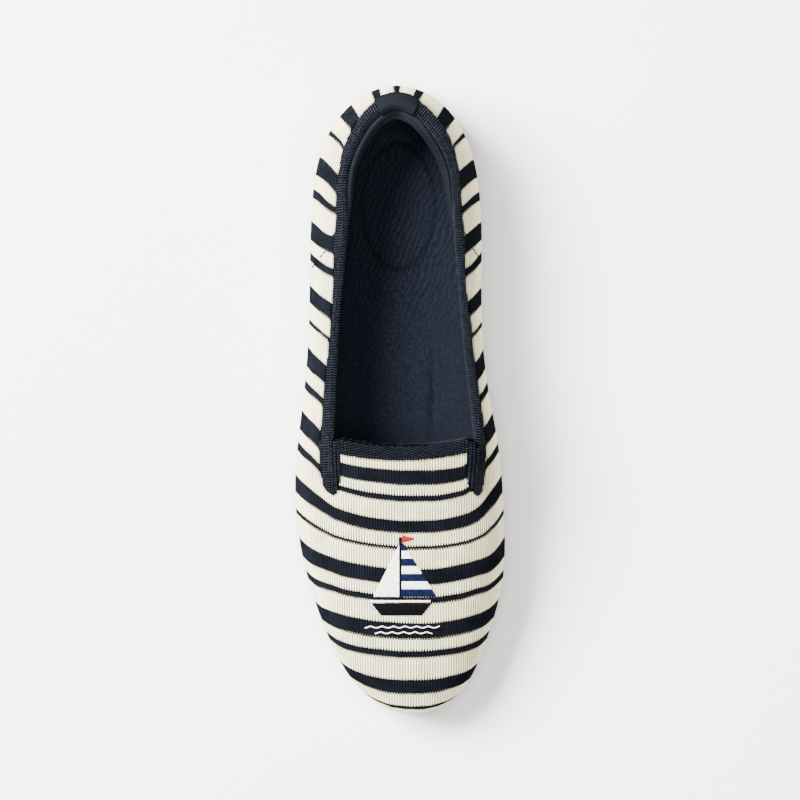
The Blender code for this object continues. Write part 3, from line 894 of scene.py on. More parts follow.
@dataclass(frozen=True)
class RibYarn:
    """Fuzzy twisted yarn of one colour.

    Attributes:
        name: The material's name.
        colour: The yarn's colour.
        spread: How much its lightness wanders.
        roughness: How matt it is.
    """

    name: str
    colour: Colour
    spread: float = 0.5
    roughness: float = 0.9

    def build(self) -> Finish:
        """Return the material."""
        shader = Shader(self.name)
        broad, fine = shader.noise(700.0, 2.0), shader.noise(6000.0, 2.0, 0.7)
        tone = 1 + (broad.eased(0.3, 0.7) * 0.5 + fine.eased(0.25, 0.75) * 0.5 - 0.5) * self.spread
        return shader.finish(shader.shade(self.colour, tone), (fine, 0.00008, 0.8),
                             self.roughness)


@dataclass(frozen=True)
class TerryLining:
    """Dark looped lining on the inside of the upper, its loops a pitch in mm apart."""

    colour: Colour = (27, 31, 40)
    pitch: float = 1.1

    def build(self) -> Finish:
        """Return the material."""
        shader = Shader("terry_lining")
        x, y, z = shader.place()
        rows = (z / self.pitch).wave()
        columns = ((x + y) / self.pitch + rows * 0.5).wave()
        loops = (1 - rows) * (1 - columns)
        fine = shader.noise(3200.0, 2.0, 0.7)
        tone = 0.62 + loops * 0.5 + fine * 0.3
        return shader.finish(shader.shade(self.colour, tone), (loops + fine * 0.3, 0.00035, 0.8))


@dataclass(frozen=True)
class TwillFootbed:
    """Navy twill on the insole, crossed by a slow steep band.

    Attributes:
        colour: The cloth's colour.
        line: Colour between its diagonal lines.
        pitch: Distance between the lines, in mm.
    """

    colour: Colour = (26, 29, 38)
    line: Colour = (9, 11, 15)
    pitch: float = 0.86

    def build(self) -> Finish:
        """Return the material."""
        shader = Shader("twill_footbed")
        x, y, _ = shader.place()
        warp = shader.noise(110.0, 1.0) - 0.5
        rising = ((x * 0.74 - y * 0.67) / self.pitch + warp * 1.2).wave()
        falling = ((x * 0.70 + y * 0.71) / self.pitch - warp * 1.2).wave()
        bands = ((x * 0.93 - y * 0.37) / 2.2 + warp * 2.4).wave()
        grain = shader.noise(950.0, 3.0, 0.75)
        fine = shader.noise(3000.0, 2.0, 0.7)
        cloth = rising * 0.45 + falling * 0.35 + grain * 0.2
        colour = shader.mix((cloth + (grain - 0.5) * 0.9).eased(0.20, 0.85), linear(self.line),
                            linear(self.colour))
        # Painted shade: darker along the heel ring's groove and the crease by the arch.
        pressed = 1 - shader.attribute("pressed") * 0.45
        steep = (bands - 0.5) * y.eased(5.0, 60.0) * 0.5
        tone = (0.97 + steep) * (0.80 + fine * 0.30) * pressed
        return shader.finish(shader.shade(colour, tone), (cloth + grain * 0.4, 0.00022, 0.8))


@dataclass(frozen=True)
class SlateMesh:
    """Soft slate fabric over the heel's padding, in a small honeycomb.

    Attributes:
        colour: Its colour.
        pitch: Size of a cell, in mm.
        pale: Ways round from the inner tip, in mm, between which painted light makes it paler over
            the back and outer side, where the lamps leave it in shade.
        painted_light_fade: Ways round between which the painted light fades out again, so that it
            turns dark towards the outer tip.
    """

    colour: Colour = (18, 21, 25)
    pitch: float = 1.3
    pale: tuple[float, float] = (38.0, 66.0)
    painted_light_fade: tuple[float, float] = (112.0, 134.0)

    def build(self) -> Finish:
        """Return the material."""
        shader = Shader("slate_mesh")
        around, up = shader.attribute("around"), shader.attribute("up")
        rows = (up / self.pitch).wave()
        cells = (around / self.pitch + (up / self.pitch).math("FLOOR") * 0.5).wave()
        knot = (1 - rows) * (1 - cells)
        fine = shader.noise(3600.0, 2.0, 0.7)
        cloud = shader.noise(90.0, 2.0)
        # Painted light: paler over the back and outer side of the pad, fading out again towards the
        # outer tip.
        pale = 0.95 + around.eased(*self.pale) * (1 - around.eased(*self.painted_light_fade)) * 1.45
        tone = (0.80 + knot * 0.35) * (0.84 + fine * 0.32) * (0.9 + cloud * 0.2) * pale
        relief = (knot + fine * 0.35, 0.00022, 0.8)
        return shader.finish(shader.shade(self.colour, tone), relief, 0.92)


@dataclass(frozen=True)
class Microfibre:
    """Smooth slate microfibre of the pull tab."""

    colour: Colour = (17, 19, 23)

    def build(self) -> Finish:
        """Return the material."""
        shader = Shader("slate_microfibre")
        nap, fine = shader.noise(500.0, 3.0), shader.noise(5200.0, 2.0, 0.7)
        tone = 0.80 + nap * 0.22 + fine * 0.2
        return shader.finish(shader.shade(self.colour, tone), (fine + nap * 0.5, 0.00007, 0.7), 0.9)


@dataclass(frozen=True)
class SoleRubber:
    """Matt dark rubber with a fine moulded grain."""

    colour: Colour = (19, 21, 27)

    def build(self) -> Finish:
        """Return the material."""
        shader = Shader("dark_rubber")
        grain, cloud = shader.noise(1700.0, 3.0, 0.6), shader.noise(70.0, 2.0)
        tone = 0.86 + grain * 0.16 + cloud * 0.12
        return shader.finish(shader.shade(self.colour, tone), (grain, 0.00012, 0.7),
                             0.6 + grain * 0.22, Specular_IOR_Level=0.2)


@dataclass(frozen=True)
class StudioPaper:
    """The pale floor, which glows a little so that its far parts stay white."""

    colour: Colour = (238, 238, 238)
    glow: float = 0.1

    def build(self) -> Finish:
        """Return the material."""
        shader = Shader("studio_paper")
        return shader.finish(self.colour, None, 0.9, Emission_Color=(1, 1, 1, 1),
                             Emission_Strength=self.glow, Specular_IOR_Level=0.1)


# ---- Meshes ----


class SheetSolid:
    """A closed solid between two sheets of points that share their faces.

    The border between the sheets follows a profile, so that an edge may be
    rolled. Every face gets a place on one flat map without overlaps.
    """

    def __init__(self, name: str, near: Array, far: Array, faces: Sequence[Quad]) -> None:
        """Keep the sheets.

        Args:
            name: The piece's name.
            near: The outer sheet's points.
            far: The inner sheet's points.
            faces: Faces by number, the same for both sheets, outward on the near one.
        """
        self.name = name
        self.near, self.far, self.faces = near, far, faces
        self.islands: list[tuple[list[Quad], list[Array], float, Face]] = []
        self.numbers: dict[str, Array] = {}

    def borders(self) -> list[list[int]]:
        """Return the border's loops of point numbers, with the faces on their left."""
        held = {pair for face in self.faces for pair in zip(face, face[1:] + face[:1])}
        onward = {a: b for a, b in held if (b, a) not in held}
        loops = []
        while onward:
            loop = [min(onward)]
            while (number := onward.pop(loop[-1])) != loop[0]:
                loop.append(number)
            loops.append(loop)
        return loops

    def edge_ways(self, loop: list[int]) -> Array:
        """Return the direction off the sheet at each point of a border loop."""
        points = self.near[loop]
        after, before = np.roll(points, -1, 0) - points, points - np.roll(points, 1, 0)
        along = unit(unit(after) + unit(before))
        return unit(np.cross(along, unit(points - self.far[loop])))

    @classmethod
    def from_grid(cls, name: str, near: Array, far: Array, flat: Array, flip: bool,
                  bulge: float, profile: Steps, inside_weight: float) -> "SheetSolid":
        """Return the solid between two grids of points.

        Args:
            name: The piece's name.
            near: The outer sheet's points, by column and row.
            far: The inner sheet's points.
            flat: The outer sheet's places on the map, in mm.
            flip: Whether the columns run the other way round.
            bulge: How far the border stands off.
            profile: The border's (way from near to far, stand-off) steps.
            inside_weight: Scale of the inner sheet on the map.

        Returns:
            The solid.
        """
        numbers = np.arange(near[..., 0].size).reshape(near.shape[:2])
        solid = cls(name, near.reshape(-1, 3), far.reshape(-1, 3),
                    grid_faces(numbers.tolist(), flip))
        cuts = [(range(len(solid.faces)), flat.reshape(-1, 2))]
        return solid.build(cuts, np.full(len(solid.near), bulge), profile, inside_weight)

    def build(self, cuts: Sequence[tuple[Array, Array]], bulge: Array,
              profile: Steps, inside_weight: float) -> "SheetSolid":
        """Lay out the whole solid.

        Args:
            cuts: Face numbers that get their own place on the map, and the flat
                place in mm of each near point there.
            bulge: How far the border stands off, for each near point.
            profile: The border's (way from near to far, stand-off) steps.
            inside_weight: Scale of the inner sheet on the map.

        Returns:
            This solid.
        """
        count = len(self.near)
        points = [self.near, self.far]
        base = 2 * count
        for cut, flat in cuts:
            chosen = [self.faces[i] for i in cut]
            self.islands.append((chosen, [flat[list(f)] for f in chosen], 1.0, Face.OUTSIDE))
            under = [tuple(count + i for i in reversed(face)) for face in chosen]
            places = [flat[list(reversed(face))] * (-1, 1) for face in chosen]
            self.islands.append((under, places, inside_weight, Face.INSIDE))
        for loop in self.borders():
            ways = self.edge_ways(loop)
            start, end = self.near[loop], self.far[loop]
            rings = [list(loop)]
            for share, off in profile:
                rings.append(list(range(base, base + len(loop))))
                base += len(loop)
                stand = (off * bulge[loop])[:, None]
                points.append(start + (end - start) * share + ways * stand)
            rings.append([count + i for i in loop])
            placed = np.concatenate(points)
            self.add_border(rings, placed, bool(bulge[loop].max() > 0))
        self.points = np.concatenate(points)
        return self

    def add_border(self, rings: list[list[int]], placed: Array, shown: bool) -> None:
        """Add the faces round one border loop, laid out in straight strips.

        Args:
            rings: Point numbers from the near sheet to the far one.
            placed: All points so far.
            shown: Whether it is in sight.
        """
        loop = placed[rings[0]]
        steps = np.linalg.norm(np.roll(loop, -1, 0) - loop, axis=1) / MM
        run = totals(steps)
        rows = [np.linalg.norm(placed[b] - placed[a], axis=1) for a, b in zip(rings, rings[1:])]
        down = totals([max(r.mean() / MM, 0.15) for r in rows])
        strip_length = max(run[-1] / 6, 60.0)
        strips: dict[int, tuple[list, list]] = {}
        for i in range(len(loop)):
            j = (i + 1) % len(loop)
            faces, places = strips.setdefault(int(run[i] / strip_length), ([], []))
            for k in range(len(rings) - 1):
                faces.append((rings[k][j], rings[k][i], rings[k + 1][i], rings[k + 1][j]))
                places.append(np.array([
                    (run[i + 1], down[k]), (run[i], down[k]),
                    (run[i], down[k + 1]), (run[i + 1], down[k + 1])]))
        for faces, places in strips.values():
            self.islands.append((faces, places, 1.0 if shown else 0.5, Face.OUTSIDE))

    def packed(self) -> list[list[Array]]:
        """Return every island's places on the map, in a square of side 1."""
        sizes, parts = [], []
        for _, places, weight, _ in self.islands:
            low = np.min([p.min(0) for p in places], 0)
            span = np.max([p.max(0) for p in places], 0) - low
            moved = [p - low for p in places]
            if span[1] > span[0]:
                moved = [p[:, ::-1] * (1, -1) + (0, span[0]) for p in moved]
                span = span[::-1]
            sizes.append(span * weight)
            parts.append([p * weight for p in moved])
        sizes = np.array(sizes)
        order = sorted(range(len(sizes)), key=lambda k: -sizes[k][1])
        best, gap = None, 1.2
        for width in np.linspace(sizes[:, 0].max() + 2 * gap, sizes[:, 0].max() * 3, 60):
            corners, x, y, shelf = {}, gap, gap, 0.0
            for k in order:
                if x + sizes[k][0] + gap > width:
                    x, y, shelf = gap, y + shelf + gap, 0.0
                corners[k] = (x, y)
                x += sizes[k][0] + gap
                shelf = max(shelf, sizes[k][1])
            side = max(width, y + shelf + gap)
            if best is None or side < best[0]:
                best = (side, corners, np.array((width, y + shelf + gap)))
        _, corners, span = best
        return [[(p + corners[k]) / span for p in part] for k, part in enumerate(parts)]

    def object(self, materials: Sequence[Finish], sharp: float = 50.0) -> Piece:
        """Return the solid as an object with its map, its numbers and its materials.

        Args:
            materials: Outside and inside.
            sharp: Angle in degrees at which an edge is sharp.

        Returns:
            The object.
        """
        faces = [face for island in self.islands for face in island[0]]
        slots = [i[3].value for i in self.islands for _ in i[0]]
        maps = [places for part in self.packed() for places in part]
        mesh = bpy.data.meshes.new(self.name)
        mesh.from_pydata(self.points.tolist(), [], faces)
        layer = mesh.uv_layers.new(name="OFBake")
        layer.uv.foreach_set("vector", np.concatenate(maps).astype(np.float32).ravel())
        mesh.polygons.foreach_set("material_index",
                                  np.minimum(slots, len(materials) - 1).astype(np.int32))
        for name, values in self.numbers.items():
            store = mesh.attributes.new(name, "FLOAT", "POINT")
            store.data.foreach_set("value", self.spread(values).astype(np.float32))
        form = bmesh.new()
        form.from_mesh(mesh)
        bmesh.ops.recalc_face_normals(form, faces=form.faces[:])
        form.to_mesh(mesh)
        form.free()
        for material in materials:
            mesh.materials.append(material)
        mesh.shade_smooth()
        mesh.set_sharp_from_angle(angle=math.radians(sharp))
        return linked(self.name, mesh)

    def spread(self, values: Array) -> Array:
        """Return a number of the near sheet for every point of the solid."""
        loops = self.borders()
        rings = (len(self.points) - 2 * len(self.near)) // max(sum(map(len, loops)), 1)
        borders = [values[loop] for loop in loops for _ in range(rings)]
        return np.concatenate([values, values] + borders)


def grid_faces(columns: Sequence[Sequence[int]], flip: bool = False) -> list[Quad]:
    """Return the quads between columns of point numbers, without doubled corners.

    Args:
        columns: Columns of point numbers.
        flip: Whether the faces turn over.

    Returns:
        The faces.
    """
    faces = []
    for left, right in zip(columns, columns[1:]):
        for k in range(len(left) - 1):
            face = [left[k], right[k], right[k + 1], left[k + 1]]
            face = [a for i, a in enumerate(face) if a not in face[:i]]
            faces.append(tuple(reversed(face)) if flip else tuple(face))
    return faces


def ride_along(thing: Piece, slot: str, *nodes: str) -> Piece:
    """Fix a finished piece to the shoe's one body and report it.

    Args:
        thing: The piece.
        slot: Its slot; not used.
        *nodes: CAD nodes that it replaces.

    Returns:
        The piece.
    """
    if nodes:
        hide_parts(*nodes)
    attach(thing, BODY)
    mesh = thing.data
    corners = sum(len(face.vertices) - 2 for face in mesh.polygons)
    LOG.info("%s: %d triangles", thing.name, corners)
    return thing


ROLL = [((1 - math.cos(math.pi * k / 7)) / 2, math.sin(math.pi * k / 7)) for k in range(1, 7)]


# ---- Geometry trees ----


class Grower:
    """Grows repeated pieces on a cloud of points or lines with geometry nodes."""

    def __init__(self, name: str, sizes: dict[str, float]) -> None:
        """Start a tree.

        Args:
            name: Name of the tree and the piece.
            sizes: The tree's named inputs.
        """
        tree = bpy.data.node_groups.new(name, "GeometryNodeTree")
        self.name, self.sizes = name, sizes
        self.sheet = NodeSheet(tree)
        for way in ("INPUT", "OUTPUT"):
            tree.interface.new_socket("Geometry", in_out=way, socket_type="NodeSocketGeometry")
        self.keys = {}
        for label in sizes:
            kind = "NodeSocketInt" if label == "Seed" else "NodeSocketFloat"
            socket = tree.interface.new_socket(label, in_out="INPUT", socket_type=kind)
            self.keys[label] = socket.identifier
        self.entry = self.sheet.node("NodeGroupInput", {}, {})
        self.plan = self.size("Geometry")

    def size(self, label: str) -> Signal:
        """Return one of the tree's inputs by name."""
        return Signal(self.sheet, self.entry.outputs[label])

    def stored(self, name: str) -> Signal:
        """Return a direction stored on the points."""
        settings = {"data_type": "FLOAT_VECTOR"}
        return self.sheet.signal("GeometryNodeInputNamedAttribute", settings, {"Name": name})

    def close(self, made: Signal, material: Finish) -> None:
        """End the tree in plain faces of one material."""
        sheet = self.sheet
        real = sheet.signal("GeometryNodeRealizeInstances", {}, {0: made})
        soft = sheet.signal("GeometryNodeSetShadeSmooth", {}, {0: real})
        dyed = sheet.signal("GeometryNodeSetMaterial", {}, {"Geometry": soft, "Material": material})
        sheet.node("NodeGroupOutput", {}, {0: dyed})

    def ride(self, points: Array, edges: Sequence[tuple[int, int]],
             ways: dict[str, Array], slot: str) -> Piece:
        """Run the tree on points or lines and fix the plain mesh to the shoe.

        Args:
            points: Points in metres.
            edges: Pairs of point numbers.
            ways: Directions stored on the points, by name.
            slot: The piece's slot.

        Returns:
            The finished piece.
        """
        seed = bpy.data.meshes.new(self.name + "_plan")
        seed.from_pydata(points.tolist(), list(edges), [])
        for name, vectors in ways.items():
            store = seed.attributes.new(name, "FLOAT_VECTOR", "POINT")
            store.data.foreach_set("vector", vectors.astype(np.float32).ravel())
        plan = linked(self.name + "_plan", seed)
        modifier = plan.modifiers.new("grow", "NODES")
        modifier.node_group = self.sheet.tree
        for label, value in self.sizes.items():
            modifier[self.keys[label]] = value
        graph = bpy.context.evaluated_depsgraph_get()
        mesh = bpy.data.meshes.new_from_object(plan.evaluated_get(graph))
        plan.modifiers.remove(modifier)
        bpy.data.objects.remove(plan, do_unlink=True)
        mesh.name = self.name
        return ride_along(linked(self.name, mesh), slot)


def knit_stitches(name: str, material: Finish) -> Grower:
    """Return a tree that sets one V of two yarn legs on each point.

    Args:
        name: The piece's name.
        material: Material of the stitches.

    Returns:
        The tree.
    """
    grower = Grower(name, {"Leg length": 0.80 * MM, "Leg width": 0.44 * MM,
                           "Leg height": 0.64 * MM, "Spread": 0.33 * MM, "Lean": 0.42, "Seed": 7})
    sheet = grower.sheet
    leg = sheet.signal("GeometryNodeMeshUVSphere", {}, {"Segments": 6, "Rings": 4, "Radius": 0.5})
    shape = sheet.vector(*(grower.size(f"Leg {way}") for way in ("width", "length", "height")))
    legs = [sheet.signal("GeometryNodeTransform", {}, {
        "Geometry": leg, "Scale": shape,
        "Translation": sheet.vector(grower.size("Spread") * side, 0.0, 0.0),
        "Rotation": sheet.vector(0.0, 0.0, grower.size("Lean") * -side)}) for side in (-1.0, 1.0)]
    up = sheet.signal("FunctionNodeAlignRotationToVector", {"axis": "Z"},
                      {"Vector": grower.stored("out")})
    turned = sheet.signal("FunctionNodeAlignRotationToVector", {"axis": "Y", "pivot_axis": "Z"},
                          {"Rotation": up, "Vector": grower.stored("along")})
    wobble = sheet.signal("FunctionNodeRandomValue", {"data_type": "FLOAT"},
                          {2: 0.88, 3: 1.12, "Seed": grower.size("Seed")}, 1)
    grower.close(sheet.signal("GeometryNodeInstanceOnPoints", {}, {
        "Points": grower.plan, "Rotation": turned, "Scale": wobble,
        "Instance": sheet.signal("GeometryNodeJoinGeometry", {}, {0: legs})}), material)
    return grower


def yarn_lines(name: str, thickness: float, material: Finish,
               lines: Sequence[Array], slot: str) -> Piece:
    """Build one piece of round threads.

    Args:
        name: The piece's name.
        thickness: The threads' thickness, in metres.
        material: Their material.
        lines: The points along each thread.
        slot: The piece's slot.

    Returns:
        The finished piece.
    """
    grower = Grower(name, {"Thickness": thickness})
    sheet = grower.sheet
    curves = sheet.signal("GeometryNodeMeshToCurve", {}, {0: grower.plan})
    ring = sheet.signal("GeometryNodeCurvePrimitiveCircle", {"mode": "RADIUS"},
                        {"Resolution": 6, "Radius": grower.size("Thickness") * 0.5})
    grower.close(sheet.signal("GeometryNodeCurveToMesh", {}, {
        "Curve": curves, "Profile Curve": ring, "Fill Caps": True}), material)
    edges, base = [], 0
    for line in lines:
        edges += [(base + k, base + k + 1) for k in range(len(line) - 1)]
        base += len(line)
    return grower.ride(np.concatenate(lines), edges, {}, slot)


# ---- The upper ----


@dataclass
class KnitUpper:
    """The knitted wall, vamp and flap, in two halves that meet along the middle.

    Attributes:
        flap_top: y of the flap's top edge at its middle.
        flap_lift: How far the edge rises from its middle to its corners.
        corner_from: Share of the half width at which the corner starts to round.
        corner_drop: How far the flap's corners round down.
        slot_foot: How far up the flap, from 0 to 1, the side slots begin.
        slot_rise: Width of a slot, in rise.
        roll: Half the thickness that the rim's roll stands off.
        rim_back: How far under its top the rim's flat face ends, in mm, in the
            slots, and how much more along the free rim.
        slot_roll: How far the rim's roll stands off in the slots, in mm.
        rib_raise: How far the rib stands over the jersey.
        flap_raise: How far the flap stands over the wall, in mm.
        pucker: Depth in mm of the gathers at the feather line.
        ripple: Depth in mm of the slow waves along the collar.
        slot_bulge: How far the flap's side edges round out in the slots.
        flap_bulge: How far its top edge rounds out.
        flexes: y, depth and width in mm of each crease across the vamp.
        low_rows: Rows of faces under the widest line.
        wall_rows: Rows from there to the rim.
        cap_rows: Rows from the rim's line to the crest.
        quarter_columns: Columns from the heel to the flap's corner.
        flap_columns: Columns down the flap's side.
        toe_columns: Columns round the toe.
    """

    flap_top: float = -18.5 * MM
    flap_lift: float = 3.4 * MM
    corner_from: float = 0.82
    corner_drop: float = 5.4 * MM
    slot_foot: float = 0.5
    slot_rise: float = 0.030
    roll: float = 1.05 * MM
    rim_back: tuple[float, float] = (0.35, 0.7)
    slot_roll: float = 0.3
    rib_raise: float = 0.5 * MM
    flap_raise: float = 0.9
    pucker: float = 0.10
    ripple: float = 0.16
    slot_bulge: float = 0.35 * MM
    flap_bulge: float = 0.9 * MM
    flexes: tuple[tuple[float, float, float], ...] = (
        (-49, -0.28, 2.6), (-54.5, 0.22, 2.8), (-97, -0.15, 3.5))
    low_rows: int = 10
    wall_rows: int = 34
    cap_rows: int = 30
    quarter_columns: int = 150
    flap_columns: int = 22
    toe_columns: int = 96

    def across(self, inward: Array) -> Array:
        """Return how far from the middle, 0 to 1, a share of the way in lies."""
        share = LAST.share_at(self.flap_top, Side.OUTER)
        edge = 1 + self.slot_rise
        rise = edge + (LAST.crest_rise(share) - edge) * inward
        return LAST.way_out(share, rise) / LAST.way_out(share, edge)

    def top_y(self, across: Array) -> Array:
        """Return the flap's top edge at a share of its half width from the middle."""
        turn = np.clip((across - self.corner_from) / (1 - self.corner_from), 0, 0.985)
        drop = self.corner_drop * (1 - np.sqrt(1 - turn * turn))
        return self.flap_top + self.flap_lift * across ** 2 - drop

    def flap_y(self, step: Array, inward: Array) -> Array:
        """Return y at a step up the flap, 0 to 1, and a share of the way in."""
        return LAST.ball_y + (self.top_y(self.across(inward)) - LAST.ball_y) * step

    def slotted(self, y: Array) -> Array:
        """Return 0 below the slots and 1 above their lower part."""
        foot = self.flap_y(self.slot_foot, 0.0)
        return smooth(y, foot, foot + 2.5 * MM)

    def open_rim(self, y: Array) -> Array:
        """Return 0 in the slots and 1 along the collar's free rim."""
        corner = self.flap_y(1.0, 0.0)
        return smooth(y, corner - 3 * MM, corner + 4 * MM)

    def rim_rise(self, share: Array) -> Array:
        """Return the rise at which the wall's flat face ends and its roll begins."""
        y = LAST.outline(share)[..., 1]
        back = self.slotted(y) * self.rim_back[0] * MM + self.open_rim(y) * self.rim_back[1] * MM
        return 1 - back / LAST.climb(share)

    def rim_bulge(self, share: Array) -> Array:
        """Return how far the rim's roll stands off."""
        y = LAST.outline(share)[..., 1]
        slot = self.slot_roll * MM
        return self.slotted(y) * self.slot_roll * MM + self.open_rim(y) * (self.roll - slot)

    def relief(self, share: Array, rise: Array) -> Array:
        """Return how far the knit stands out from the last's own face.

        Args:
            share: Places round the outline.
            rise: Places up the wall.

        Returns:
            Distances in metres.
        """
        share, rise = paired(share, rise)
        read = KNIT.reading(share, rise)
        place = LAST.point(share, rise)
        y = place[..., 1] / MM
        run = LAST.run(share) / MM
        rib = smooth(read["rib"], -0.2, 1.0) * self.rib_raise
        flap = smooth(rise, 1.0, 1.04) * smooth(y, -36, -20) * self.flap_raise * MM
        pucker = bell(rise + 1, 0.45) * np.sin(run / 1.15 + 1.3 * np.sin(run / 9))
        waves = smooth(rise, 0.35, 0.95) * (y > -20) * (
            np.sin(run / 9.5) + 0.6 * np.sin(run / 5.7 + 1.0)) * self.ripple * MM
        waves = np.where(rise > 1.02, 0, waves * smooth(y, -20, 0))
        x = place[..., 0] / MM
        flex = sum(
            size * bell(y - at - 0.004 * (x - 4) ** 2 - 0.05 * x, width)
            for at, size, width in self.flexes
        ) * smooth(LAST.way_out(share, rise), 0.93, 0.55) * MM
        return rib + flap + pucker * self.pucker * MM + waves + np.where(y < -40, flex, 0)

    def surface(self, share: Array, rise: Array, over: Any = 0.0) -> Array:
        """Return points at a height over the knit's outer face."""
        return LAST.at(share, rise, -(self.relief(share, rise) + over))

    def half(self, side: Side) -> tuple[Array, Array, list[Quad], Array, list[Array]]:
        """Return one half's places on the last.

        Args:
            side: Outer or inner side of the foot.

        Returns:
            Shares, rises, faces, the border's stand-off, and the faces of the
            quarter, the toe wall and the vamp.
        """
        back = 0.0 if side is Side.OUTER else 1.0
        corner = float(LAST.share_at(self.flap_y(1.0, 0.0), side))
        ball = float(LAST.share_at(LAST.ball_y, side))
        steps = np.linspace(1, 0, self.flap_columns + 1)
        quarter = np.linspace(back, corner, self.quarter_columns + 1)[:-1]
        flap = LAST.share_at(self.flap_y(steps, 0.0), side)
        toe = np.linspace(ball, LAST.toe_share, self.toe_columns + 1)[1:]
        shares = np.concatenate([quarter, flap, toe])
        first_flap, split = len(quarter), len(quarter) + self.flap_columns
        placed: list[Array] = []

        def put(*values: Any) -> list[int]:
            """Add points by share, rise and stand-off, and return their numbers."""
            start = sum(map(len, placed))
            placed.append(np.stack(np.broadcast_arrays(*values), -1))
            return list(range(start, start + len(placed[-1])))

        low = -np.linspace(1, 0, self.low_rows + 1)[:-1]
        wall, cap = [], []
        inward = np.linspace(0, 1, self.cap_rows + 1) ** 1.25
        pole = put([ball], LAST.crest_rise(np.array([ball])), 0.0)[0]
        for i, share in enumerate(shares):
            end = float(self.rim_rise(share))
            rises = np.concatenate([low, end * np.linspace(0, 1, self.wall_rows + 1)])
            bulge = np.zeros(len(rises))
            bulge[-1] = self.rim_bulge(share)
            wall.append(put(share, rises, bulge))
            if i < first_flap:
                continue
            if i > split:
                ups = 1 + (LAST.crest_rise(share) - 1) * inward
                cap.append([wall[-1][-1]] + put(share, ups[1:-1], 0.0) + [pole])
                continue
            step = steps[i - first_flap]
            joined = bool(step <= self.slot_foot)
            places = LAST.share_at(self.flap_y(step, inward), side)
            edge = end if joined else 1 + self.slot_rise
            ups = edge + (LAST.crest_rise(places) - edge) * inward
            bulge = np.full(len(ups), self.flap_bulge if i == first_flap else 0.0)
            if i > first_flap and not joined:
                bulge[0] = self.slot_bulge
            if i == split:
                cap.append([wall[-1][-1]] + put(places[1:-1], ups[1:-1], 0.0) + [pole])
            else:
                cap.append(wall[-1][-1:] * joined
                           + put(places[joined:], ups[joined:], bulge[joined:]))
        flip = side is Side.INNER
        parts = [grid_faces(columns, flip) for columns in (wall[: split + 1], wall[split:], cap)]
        ends = np.cumsum([0] + [len(part) for part in parts])
        cuts = [np.arange(a, b) for a, b in zip(ends, ends[1:])]
        share, rise, bulge = np.concatenate(placed).T.copy()
        return share, rise, sum(parts, []), bulge, cuts

    def build(self, knit: Finish, lining: Finish) -> list[Piece]:
        """Build both halves.

        Args:
            knit: Material outside.
            lining: Material inside.

        Returns:
            The finished pieces.
        """
        things = []
        for side in Side:
            share, rise, faces, bulge, cuts = self.half(side)
            height = np.where(rise < 0, rise * 11.0, rise * LAST.climb(share) / MM * 0.95)
            wall = np.stack([LAST.run(share) / MM, height], -1)
            flats = (wall, wall, LAST.point(share, rise)[:, :2] / MM)
            solid = SheetSolid(f"knit_upper_{side.name.lower()}", self.surface(share, rise),
                               LAST.at(share, rise, LAST.wall), faces)
            solid.build(list(zip(cuts, flats)), bulge, ROLL, 0.45)
            solid.numbers = KNIT.reading(share, rise)
            things.append(ride_along(solid.object((knit, lining)), "knit_upper", "knit_upper"))
        return things


